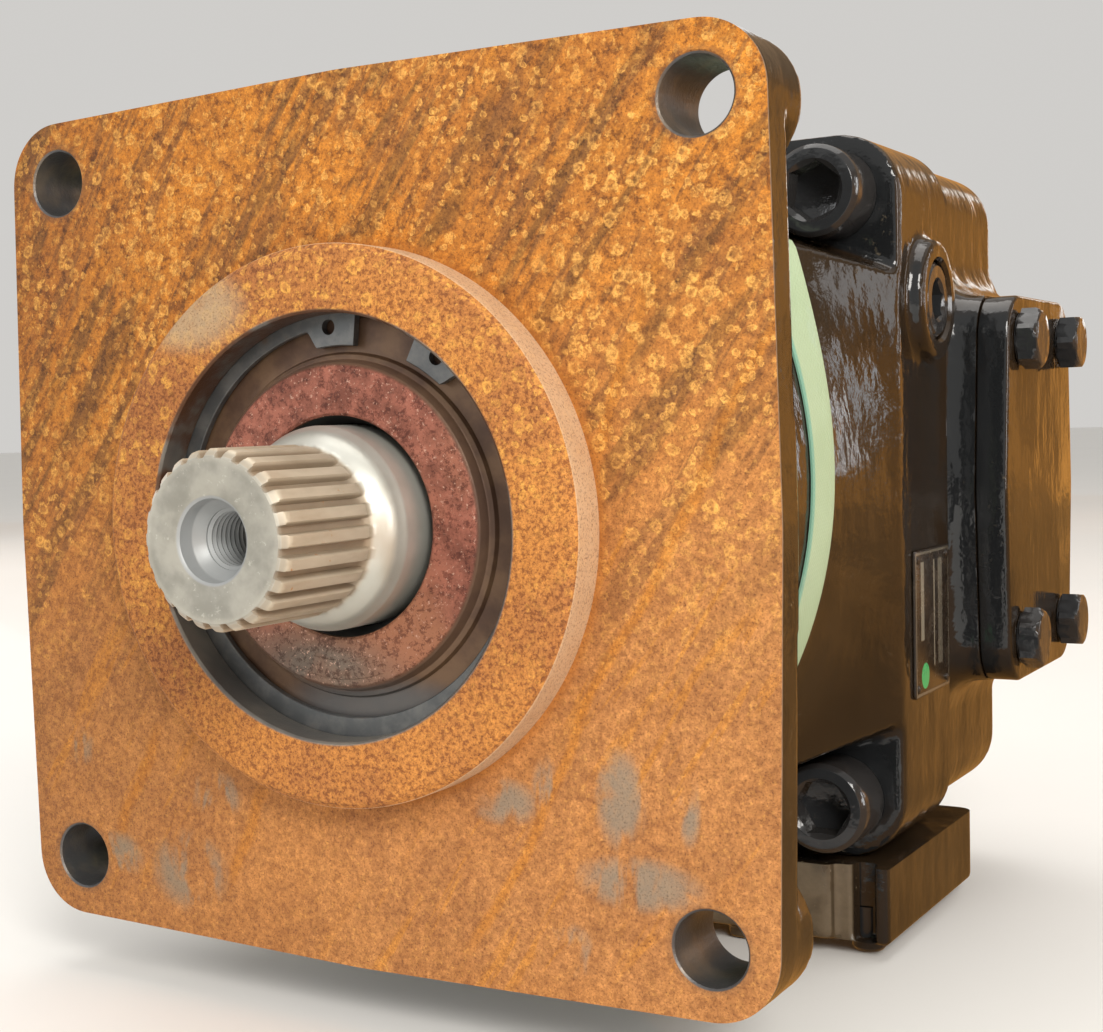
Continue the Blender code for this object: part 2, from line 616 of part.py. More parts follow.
# ================================================================ ROTATING GROUP
barrel = turned([(BARREL_0, 36.0), (BARREL_0, BARREL_R - 1.5), (BARREL_0 + 1.5, BARREL_R),
                 (BARREL_1, BARREL_R), (BARREL_1, 25.5), (157.0, 25.5), (157.0, 36.0)], 32)
balls = []
for i in range(PISTONS):
    phi = math.pi / 2 + 2 * math.pi * i / PISTONS
    cx, cz = BARREL_PITCH * math.cos(phi), BARREL_PITCH * math.sin(phi)
    barrel = cut(barrel, solid_turned([(108, 0), (108, PISTON_BORE_R), (178, PISTON_BORE_R), (178, 7.0),
                                       (198, 7.0), (198, 0)], 16, (cx, 0, cz)))
    balls.append(CENTRE + E1 * (BALL_PITCH * math.cos(phi)) + E2 * (BALL_PITCH * math.sin(phi)))
finish(barrel, "cylinder_barrel", "barrel_steel")

plate = turned([(-8.7, 35.9), (-8.7, 81.0), (-3.7, 81.0), (-3.7, 35.9)], 28, CENTRE, NRM)
for b in balls:
    plate = cut(plate, cylinder(13.8, -16, 10, b, NRM, 10))
finish(plate, "retaining_plate", "bearing_steel")

arc = [(35.0 * math.sin(t), 35.0 * math.cos(t)) for t in
       [math.asin(-18 / 35.0) + (math.asin(8 / 35.0) - math.asin(-18 / 35.0)) * i / 4 for i in range(5)]]
finish(turned([(-18, 25.4)] + arc + [(8, 25.4)], 28, CENTRE), "retaining_ball", "bronze")

t0, t1 = math.asin(5 / 9.3), -math.pi / 2
sock = [(9.3 * math.sin(t), 9.3 * math.cos(t)) for t in [t0 + (t1 - t0) * i / 4 for i in range(4)]] + [(-9.3, 0)]
slipper0 = solid_turned([(-14, 0), (-14, 18.0), (-9, 18.0), (-9, 13.0), (5, 13.0)] + sock, 12,
                        (0, 0, 0), NRM, "slipper")
tb = math.asin(6.8 / BALL_R)
ballp = [(-BALL_R, 0)] + [(BALL_R * math.sin(t), BALL_R * math.cos(t)) for t in
                       [-math.pi / 2 + (tb + math.pi / 2) * i / 4 for i in range(1, 5)]]
piston0 = solid_turned(ballp + [(10.0, 5.0), (12.0, PISTON_R), (73.0, PISTON_R), (73.0, 0)], 12, (0, 0, 0), (0, 1, 0), "piston")
for i, b in enumerate(balls):
    for src, nm, mt in ((slipper0, "slipper", "bronze"), (piston0, "piston", "bearing_steel")):
        me = src.data.copy()
        ob = bpy.data.objects.new("%s_%d" % (nm, i + 1), me)
        COL.objects.link(ob)
        ob.location = b * MM
        finish(ob, "%s_%d" % (nm, i + 1), mt)
for src in (slipper0, piston0):
    bpy.data.objects.remove(src, do_unlink=True)

valve = turned([(BARREL_1 + GAP, 30.0), (BARREL_1 + GAP, 84.0), (HOUSING_END - GAP, 84.0), (HOUSING_END - GAP, 30.0)], 32)
for s in (-1, 1):
    valve = cut(valve, prism(kidney(s, 55, 69), 185, 205, "xz"))
finish(valve, "valve_plate", "bronze")

# coil spring between the retaining ball and the barrel's shoulder
cu = bpy.data.curves.new("spring", "CURVE")
cu.dimensions = "3D"
cu.bevel_depth = 2.1 * MM
cu.bevel_resolution = 1
cu.use_fill_caps = True
turns, per = 4.5, 10
count = int(turns * per) + 1
sp = cu.splines.new("POLY")
sp.points.add(count - 1)
for i in range(count):
    a = 2 * math.pi * i / per
    sp.points[i].co = (30.6 * math.cos(a) * MM, (98.0 + (154.0 - 98.0) * i / (count - 1)) * MM,
                       30.6 * math.sin(a) * MM, 1.0)
spring = bpy.data.objects.new("spring", cu)
WORK.objects.link(spring)
spring = baked(spring)
finish(spring, "barrel_spring", "spring_steel")

# ---------------------------------------------------------------- into the row frame
root = bpy.data.objects.new("hydraulic_motor_root", None)
COL.objects.link(root)
root.location = (0.0, Y_SHIFT * MM, Z_LIFT * MM)
for ob in list(COL.objects):
    if ob.type == "MESH":
        ob.parent = root
bpy.data.collections.remove(WORK)
bpy.context.view_layer.update()
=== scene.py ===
"""Looks for the hydraulic motor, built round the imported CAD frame.
Lengths in the working frame are millimetres: X to the right, Y behind the flange's face, Z above the shaft."""
import json
import math
import bpy
import bmesh
import numpy as np
from mathutils import Matrix, Vector
from mathutils.bvhtree import BVHTree

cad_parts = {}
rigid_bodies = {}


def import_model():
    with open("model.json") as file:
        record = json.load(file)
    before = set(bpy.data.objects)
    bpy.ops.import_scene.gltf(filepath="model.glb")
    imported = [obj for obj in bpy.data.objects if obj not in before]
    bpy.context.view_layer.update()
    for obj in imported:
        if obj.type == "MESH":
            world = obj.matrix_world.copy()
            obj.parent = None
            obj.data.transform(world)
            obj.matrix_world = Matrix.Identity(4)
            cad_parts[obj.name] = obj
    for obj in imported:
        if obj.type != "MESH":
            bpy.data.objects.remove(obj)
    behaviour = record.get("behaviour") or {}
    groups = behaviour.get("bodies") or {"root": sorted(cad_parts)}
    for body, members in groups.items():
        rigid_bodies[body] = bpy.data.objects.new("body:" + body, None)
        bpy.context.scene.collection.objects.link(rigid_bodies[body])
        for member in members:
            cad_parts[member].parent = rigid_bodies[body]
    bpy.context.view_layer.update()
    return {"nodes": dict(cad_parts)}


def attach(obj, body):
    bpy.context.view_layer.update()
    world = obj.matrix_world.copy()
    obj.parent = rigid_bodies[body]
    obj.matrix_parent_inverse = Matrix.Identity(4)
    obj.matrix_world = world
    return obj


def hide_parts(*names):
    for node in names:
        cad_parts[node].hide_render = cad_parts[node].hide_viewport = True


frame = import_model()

MM = 0.001
Y_SHIFT, Z_LIFT = -120.0, 152.0
MODEL = bpy.data.collections.new("motor")
bpy.context.scene.collection.children.link(MODEL)
WORK = bpy.data.collections.new("work")
bpy.context.scene.collection.children.link(WORK)
NODES = frame["nodes"]

# ---------------------------------------------------------------- the same sizes as the CAD
SHAFT_TIP, REAR_END = -65.0, 304.9
HOLE_HALF, HOLE_R = 112.25, 10.5
FLANGE_CORNER_R, FLANGE_BULGE_R, FLANGE_T, PAD_T = 19.5, 133.95, 14.0, 27.0
PILOT_R, PILOT_H, BORE_R = 82.55, 14.0, 62.7
NECK_R, EAR_FACE, HOUSING_END = 112.0, 147.0, 200.0
HALF_X, HALF_Z, CORNER_R = 120.0, 121.0, 21.0
SCREW_X, SCREW_Z = 98.0, 101.0
BLOCK_HALF_X, BLOCK_HALF_Z, BLOCK_CORNER_R = 112.0, 121.0, 20.0
PORT_Y, PORT_DY, PORT_DZ = 252.0, 31.0, 53.2
PAD_FACE, COVER_OUT = 129.0, 140.0
COVER_LOBE_R, COVER_MID_R = 15.5, 51.0
FLARE_0 = 45.0
TEETH = 24


# ================================================================ mesh tools
def to_row(p):
    return ((p[0]) * MM, (p[1] + Y_SHIFT) * MM, (p[2] + Z_LIFT) * MM)


def make(name, verts, faces, work=True):
    me = bpy.data.meshes.new(name)
    me.from_pydata([to_row(v) for v in verts], [], faces)
    bm = bmesh.new()
    bm.from_mesh(me)
    bmesh.ops.remove_doubles(bm, verts=bm.verts, dist=1e-7)
    bmesh.ops.recalc_face_normals(bm, faces=bm.faces)
    bm.to_mesh(me)
    bm.free()
    ob = bpy.data.objects.new(name, me)
    (WORK if work else MODEL).objects.link(ob)
    return ob


def axes_for(axis):
    a = Vector(axis).normalized()
    ref = Vector((0, 0, 1)) if abs(a.z) < 0.9 else Vector((1, 0, 0))
    u = ref.cross(a).normalized()
    return a, u, a.cross(u)


def lathe(name, profile, steps=96, origin=(0, 0, 0), axis=(0, 1, 0), closed=True, wobble=None):
    """profile of (height, radius) revolved about the axis"""
    a, u, v = axes_for(axis)
    o = Vector(origin)
    verts, index = [], []
    for h, r in profile:
        row = []
        if abs(r) < 1e-9:
            verts.append(tuple(o + a * h))
            row = [len(verts) - 1] * steps
        else:
            for i in range(steps):
                t = 2 * math.pi * i / steps
                rr = r + (wobble(h, r, t) if wobble else 0.0)
                verts.append(tuple(o + a * h + u * (rr * math.cos(t)) + v * (rr * math.sin(t))))
                row.append(len(verts) - 1)
        index.append(row)
    faces = []
    pairs = list(zip(index, index[1:])) + ([(index[-1], index[0])] if closed else [])
    for r0, r1 in pairs:
        for i in range(steps):
            j = (i + 1) % steps
            f = []
            for k in (r0[i], r0[j], r1[j], r1[i]):
                if k not in f:
                    f.append(k)
            if len(f) > 2:
                faces.append(f)
    return make(name, verts, faces)


def rounded(points, radii, n=4, closed=True):
    """a profile with its corners rounded; radii 0 keeps a corner sharp"""
    out = []
    m = len(points)
    for i, p in enumerate(points):
        r = radii[i] if isinstance(radii, (list, tuple)) else radii
        if r <= 0 or (not closed and i in (0, m - 1)):
            out.append(p)
            continue
        a = Vector(points[i - 1]) - Vector(p)
        b = Vector(points[(i + 1) % m]) - Vector(p)
        la, lb = a.length, b.length
        a.normalize()
        b.normalize()
        ang = math.acos(max(-1, min(1, a.dot(b))))
        if ang > math.pi - 0.03 or ang < 0.03:
            out.append(p)
            continue
        d = min(r / math.tan(ang / 2), la * 0.49, lb * 0.49)
        rr = d * math.tan(ang / 2)
        c = Vector(p) + (a + b).normalized() * (rr / math.sin(ang / 2))
        s = Vector(p) + a * d - c
        e = Vector(p) + b * d - c
        t0 = math.atan2(s.y, s.x)
        dt = math.atan2(e.y, e.x) - t0
        while dt > math.pi:
            dt -= 2 * math.pi
        while dt < -math.pi:
            dt += 2 * math.pi
        for k in range(n + 1):
            t = t0 + dt * k / n
            out.append((c.x + rr * math.cos(t), c.y + rr * math.sin(t)))
    return out


def inset(outline, d):
    """moves a counter-clockwise outline inwards by d"""
    n = len(outline)
    out = []
    for i in range(n):
        p0, p, p1 = Vector(outline[i - 1]), Vector(outline[i]), Vector(outline[(i + 1) % n])
        e0, e1 = (p - p0), (p1 - p)
        if e0.length < 1e-9 or e1.length < 1e-9:
            out.append(tuple(p))
            continue
        e0.normalize()
        e1.normalize()
        n0, n1 = Vector((-e0.y, e0.x)), Vector((-e1.y, e1.x))
        m = n0 + n1
        m = m / max(0.35, m.length_squared / 2)
        out.append((p.x + m.x * d, p.y + m.y * d))
    return out


def ccw(outline):
    area = sum(a[0] * b[1] - b[0] * a[1] for a, b in zip(outline, outline[1:] + outline[:1]))
    return outline if area > 0 else outline[::-1]


def place2d(a, b, c, plane):
    if plane == "xz":
        return (a, c, b)
    if plane == "yz":
        return (c, a, b)
    return (a, b, c)


def slab(name, outline, c0, c1, plane="xz", b0=0.0, b1=0.0, seg=4):
    """an outline extruded between c0 and c1 with its edges rounded by b0 at c0 and b1 at c1"""
    outline = ccw(outline)
    s = 1.0 if c1 > c0 else -1.0
    rings = []
    if b0 > 0:
        for k in range(seg):
            t = math.pi / 2 * k / seg
            rings.append((c0 + s * b0 * (1 - math.cos(math.pi / 2 - (math.pi / 2 - t))) * 1.0, b0 * (1 - math.sin(t))))
        rings = [(c0 + s * b0 * (1 - math.cos(math.pi / 2 * k / seg)), b0 * (1 - math.sin(math.pi / 2 * k / seg))) for k in range(seg)]
    rings.append((c0 + s * b0, 0.0))
    rings.append((c1 - s * b1, 0.0))
    if b1 > 0:
        rings += [(c1 - s * b1 * (1 - math.sin(math.pi / 2 * k / seg)), b1 * (1 - math.cos(math.pi / 2 * k / seg))) for k in range(1, seg + 1)]
    verts, faces = [], []
    n = len(outline)
    for c, d in rings:
        for a, b in (inset(outline, d) if d > 1e-9 else outline):
            verts.append(place2d(a, b, c, plane))
    for r in range(len(rings) - 1):
        for i in range(n):
            j = (i + 1) % n
            faces.append((r * n + i, r * n + j, (r + 1) * n + j, (r + 1) * n + i))
    faces.append(tuple(range(n)))
    faces.append(tuple(range((len(rings) - 1) * n, len(rings) * n)))
    return make(name, verts, faces)


def loft(name, sections, plane="xz"):
    verts, faces = [], []
    n = len(sections[0][1])
    for c, pts in sections:
        for a, b in pts:
            verts.append(place2d(a, b, c, plane))
    for r in range(len(sections) - 1):
        for i in range(n):
            j = (i + 1) % n
            faces.append((r * n + i, r * n + j, (r + 1) * n + j, (r + 1) * n + i))
    faces.append(tuple(range(n)))
    faces.append(tuple(range((len(sections) - 1) * n, len(sections) * n)))
    return make(name, verts, faces)


def hull2d(points):
    pts = sorted(set((round(a, 5), round(b, 5)) for a, b in points))

    def half(seq):
        out = []
        for p in seq:
            while len(out) > 1 and ((out[-1][0] - out[-2][0]) * (p[1] - out[-2][1])
                                    - (out[-1][1] - out[-2][1]) * (p[0] - out[-2][0])) <= 1e-9:
                out.pop()
            out.append(p)
        return out[:-1]
    return half(pts) + half(reversed(pts))


def disc(c, r, n):
    return [(c[0] + r * math.cos(2 * math.pi * i / n), c[1] + r * math.sin(2 * math.pi * i / n)) for i in range(n)]


def resample(outline, step):
    """adds points along the long straight stretches of an outline"""
    out = []
    for a, b in zip(outline, outline[1:] + outline[:1]):
        d = math.hypot(b[0] - a[0], b[1] - a[1])
        k = max(1, int(d / step))
        for i in range(k):
            out.append((a[0] + (b[0] - a[0]) * i / k, a[1] + (b[1] - a[1]) * i / k))
    return out


def rounded_rect(hx, hz, r, arc=10, side=14):
    out = []
    corners = [(hx - r, hz - r, 0), (-(hx - r), hz - r, 90),
               (-(hx - r), -(hz - r), 180), (hx - r, -(hz - r), 270)]
    for k, (cx, cz, a0) in enumerate(corners):
        for i in range(arc + 1):
            a = math.radians(a0 + 90.0 * i / arc)
            out.append((cx + r * math.cos(a), cz + r * math.sin(a)))
        nx, nz, n0 = corners[(k + 1) % 4]
        a, b = math.radians(a0 + 90.0), math.radians(n0)
        s = (cx + r * math.cos(a), cz + r * math.sin(a))
        e = (nx + r * math.cos(b), nz + r * math.sin(b))
        for i in range(1, side):
            t = i / side
            out.append((s[0] + (e[0] - s[0]) * t, s[1] + (e[1] - s[1]) * t))
    return out


def bake(ob):
    """the evaluated mesh in place of the modifiers"""
    bpy.context.view_layer.update()
    dg = bpy.context.evaluated_depsgraph_get()
    me = bpy.data.meshes.new_from_object(ob.evaluated_get(dg))
    ob.modifiers.clear()
    old = ob.data
    ob.data = me
    bpy.data.meshes.remove(old)
    return ob


def merged(name, *obs):
    """several closed shells as one mesh, with nothing joined"""
    bm = bmesh.new()
    for o in obs:
        bm.from_mesh(o.data)
    me = bpy.data.meshes.new(name)
    bm.to_mesh(me)
    bm.free()
    for o in obs:
        bpy.data.objects.remove(o, do_unlink=True)
    ob = bpy.data.objects.new(name, me)
    WORK.objects.link(ob)
    return ob


def boolean(ob, other, op="DIFFERENCE"):
    mod = ob.modifiers.new("b", "BOOLEAN")
    mod.operation = op
    mod.solver = "EXACT"
    mod.object = other
    bake(ob)
    bpy.data.objects.remove(other, do_unlink=True)
    return ob


def cast(ob, size, smooth):
    """one skin round overlapping shells, with the soft inner corners of a casting"""
    mod = ob.modifiers.new("r", "REMESH")
    mod.mode = "VOXEL"
    mod.voxel_size = size * MM
    mod = ob.modifiers.new("s", "SMOOTH")
    mod.factor = 0.5
    mod.iterations = smooth
    return bake(ob)


def cut_flat(ob, point, normal):
    """cuts the side that normal points to away and closes the hole"""
    bm = bmesh.new()
    bm.from_mesh(ob.data)
    geom = list(bm.verts) + list(bm.edges) + list(bm.faces)
    res = bmesh.ops.bisect_plane(bm, geom=geom, dist=1e-7, plane_co=Vector(to_row(point)),
                                 plane_no=Vector(normal), clear_outer=True)
    edges = [g for g in res["geom_cut"] if isinstance(g, bmesh.types.BMEdge) and g.is_valid]
    bmesh.ops.holes_fill(bm, edges=edges, sides=0)
    bmesh.ops.recalc_face_normals(bm, faces=bm.faces)
    bm.to_mesh(ob.data)
    bm.free()
    return ob


def piece(ob, name, mat, nodes, body="housing", sharp=38.0, bevel=0.0):
    """finishes a piece: name, material, shading, body, the CAD nodes it stands for"""
    ob.name = name
    ob.data.name = name
    for c in list(ob.users_collection):
        c.objects.unlink(ob)
    MODEL.objects.link(ob)
    ob.data.materials.clear()
    ob.data.materials.append(mat)
    if bevel > 0:
        mod = ob.modifiers.new("bevel", "BEVEL")
        mod.width = bevel * MM
        mod.segments = 2
        mod.limit_method = "ANGLE"
        mod.angle_limit = math.radians(40)
        bake(ob)
    ob.data.shade_smooth()
    ob.data.set_sharp_from_angle(angle=math.radians(sharp))
    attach(ob, body)
    for n in ([nodes] if isinstance(nodes, str) else nodes):
        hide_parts(n)
    return ob


# ================================================================ node materials
class Net:
    def __init__(self, name):
        self.m = bpy.data.materials.new(name)
        self.m.use_nodes = True
        self.t = self.m.node_tree
        self.t.nodes.clear()
        self.out = self.t.nodes.new("ShaderNodeOutputMaterial")
        self.b = self.t.nodes.new("ShaderNodeBsdfPrincipled")
        self.t.links.new(self.b.outputs[0], self.out.inputs[0])
        self.tc = self.t.nodes.new("ShaderNodeTexCoord")
        self.p = self.tc.outputs["Object"]

    def put(self, socket, v):
        if isinstance(v, bpy.types.NodeSocket):
            self.t.links.new(v, socket)
        elif isinstance(v, (tuple, list)):
            socket.default_value = tuple(v) + ((1.0,) if len(v) == 3 and len(socket.default_value) == 4 else ())
        else:
            socket.default_value = v

    def math(self, op, a, b=0.0, c=0.0, clamp=False):
        n = self.t.nodes.new("ShaderNodeMath")
        n.operation = op
        n.use_clamp = clamp
        for i, v in enumerate((a, b, c)):
            self.put(n.inputs[i], v)
        return n.outputs[0]

    def mul(self, a, b):
        return self.math("MULTIPLY", a, b)

    def add(self, a, b):
        return self.math("ADD", a, b)

    def sub(self, a, b):
        return self.math("SUBTRACT", a, b)

    def step(self, v, lo, hi, smooth=True):
        """0 below lo, 1 above hi; swap the two for the opposite"""
        n = self.t.nodes.new("ShaderNodeMapRange")
        n.interpolation_type = "SMOOTHSTEP" if smooth else "LINEAR"
        n.clamp = True
        flip = lo > hi
        if flip:
            lo, hi = hi, lo
        self.put(n.inputs["Value"], v)
        n.inputs["From Min"].default_value = lo
        n.inputs["From Max"].default_value = hi
        n.inputs["To Min"].default_value = 1.0 if flip else 0.0
        n.inputs["To Max"].default_value = 0.0 if flip else 1.0
        return n.outputs[0]

    def mapped(self, vec=None, scale=(1, 1, 1), rot=(0, 0, 0), loc=(0, 0, 0)):
        n = self.t.nodes.new("ShaderNodeMapping")
        self.put(n.inputs["Vector"], vec or self.p)
        n.inputs["Scale"].default_value = scale
        n.inputs["Rotation"].default_value = rot
        n.inputs["Location"].default_value = loc
        return n.outputs[0]

    def noise(self, scale, detail=3.0, rough=0.55, vec=None, distort=0.0, color=False):
        n = self.t.nodes.new("ShaderNodeTexNoise")
        self.put(n.inputs["Vector"], vec or self.p)
        n.inputs["Scale"].default_value = scale
        n.inputs["Detail"].default_value = detail
        n.inputs["Roughness"].default_value = rough
        n.inputs["Distortion"].default_value = distort
        return n.outputs[1 if color else 0]

    def voronoi(self, scale, vec=None, feature="F1", out="Distance", randomness=1.0):
        n = self.t.nodes.new("ShaderNodeTexVoronoi")
        n.feature = feature
        self.put(n.inputs["Vector"], vec or self.p)
        n.inputs["Scale"].default_value = scale
        n.inputs["Randomness"].default_value = randomness
        return n.outputs[out]

    def ramp(self, v, *stops):
        n = self.t.nodes.new("ShaderNodeValToRGB")
        self.put(n.inputs[0], v)
        e = n.color_ramp.elements
        while len(e) > 1:
            e.remove(e[-1])
        for i, (pos, c) in enumerate(stops):
            s = e[0] if i == 0 else e.new(pos)
            s.position = pos
            s.color = (c, c, c, 1.0) if isinstance(c, (int, float)) else tuple(c) + (1.0,)
        return n.outputs[0]

    def mix(self, f, a, b, mode="MIX"):
        n = self.t.nodes.new("ShaderNodeMix")
        n.data_type = "RGBA"
        n.blend_type = mode
        self.put(n.inputs[0], f)
        self.put(n.inputs[6], a)
        self.put(n.inputs[7], b)
        return n.outputs[2]

    def xyz(self, vec=None):
        n = self.t.nodes.new("ShaderNodeSeparateXYZ")
        self.put(n.inputs[0], vec or self.p)
        return n.outputs

    def normal(self):
        return self.xyz(self.t.nodes.new("ShaderNodeNewGeometry").outputs["Normal"])

    def bump(self, height, strength=0.3, distance=0.001, normal=None):
        n = self.t.nodes.new("ShaderNodeBump")
        n.inputs["Strength"].default_value = strength
        n.inputs["Distance"].default_value = distance
        self.put(n.inputs["Height"], height)
        if normal is not None:
            self.put(n.inputs["Normal"], normal)
        return n.outputs[0]

    def set(self, **kw):
        for k, v in kw.items():
            self.put(self.b.inputs[k.replace("_", " ")], v)
        return self.m

    def blob(self, xyz, x, z, rx, rz, power=1.0):
        """1 at working (x, z), falling to 0 at radius rx, rz"""
        dx = self.math("DIVIDE", self.sub(xyz[0], x * MM), rx * MM)
        dz = self.math("DIVIDE", self.sub(xyz[2], (z + Z_LIFT) * MM), rz * MM)
        d = self.add(self.mul(dx, dx), self.mul(dz, dz))
        return self.step(d, 1.0, 0.1)


def paint_layers(g, dust=0.25):
    """thick gloss black paint: (colour, roughness, normal)"""
    base = g.mix(g.noise(14, 3, 0.6), (0.0150, 0.0095, 0.0055), (0.0260, 0.0160, 0.0090))
    # faces turned to the front are painted bluish-black: a painted reflection tint, and the dust film below is kept
    # off them
    front_faces_painted_reflection = g.step(g.normal()[1], -0.55, -0.90)
    base = g.mix(front_faces_painted_reflection, base, (0.0120, 0.0130, 0.0140))
    fine = g.step(g.noise(420, 4, 0.7), 0.60, 0.80)
    patch = g.step(g.noise(22, 4, 0.65, distort=0.6), 0.48, 0.72)
    speck = g.math("MINIMUM", g.mul(g.mul(fine, patch), dust * 3.4), 1.0)
    base = g.mix(speck, base, (0.30, 0.235, 0.150))
    film = g.mul(g.mul(g.step(g.noise(9, 3, 0.6), 0.40, 0.75), dust * 0.8), g.sub(1.0, front_faces_painted_reflection))
    base = g.mix(film, base, (0.085, 0.052, 0.026))
    rough = g.add(g.mul(g.noise(35, 4, 0.7), 0.15), g.add(g.mul(speck, 0.40), 0.03))
    lumps = g.noise(26, 2, 0.5)
    peel = g.noise(240, 3, 0.55)
    runs = g.noise(60, 3, 0.5, vec=g.mapped(scale=(1.0, 1.0, 0.28)))
    nrm = g.bump(lumps, 0.5, 0.0030)
    nrm = g.bump(runs, 0.45, 0.0016, nrm)
    nrm = g.bump(peel, 0.42, 0.00045, nrm)
    nrm = g.bump(speck, 0.35, 0.0002, nrm)
    return base, rough, nrm


def gloss_paint(name, dust=0.25, tint=None, dusty=False):
    g = Net(name)
    base, rough, nrm = paint_layers(g, dust)
    if dusty:
        front = g.step(g.normal()[1], -0.35, -0.80)
        cover = g.mul(g.mul(front, g.mul(g.step(g.xyz()[1], 0.0205, 0.0192), g.step(g.math("ABSOLUTE", g.xyz()[0]), 0.109, 0.107))), g.step(g.noise(30, 4, 0.65), 0.30, 0.56))
        base = g.mix(g.mul(cover, 0.80), base, g.mix(g.noise(180, 4, 0.7), (0.085, 0.062, 0.038), (0.210, 0.160, 0.100)))
        rough = g.add(rough, g.mul(cover, 0.25))
    if tint:
        base = g.mix(0.6, base, tint)
    return g.set(Base_Color=base, Roughness=rough, Normal=nrm, Specular_IOR_Level=0.5)


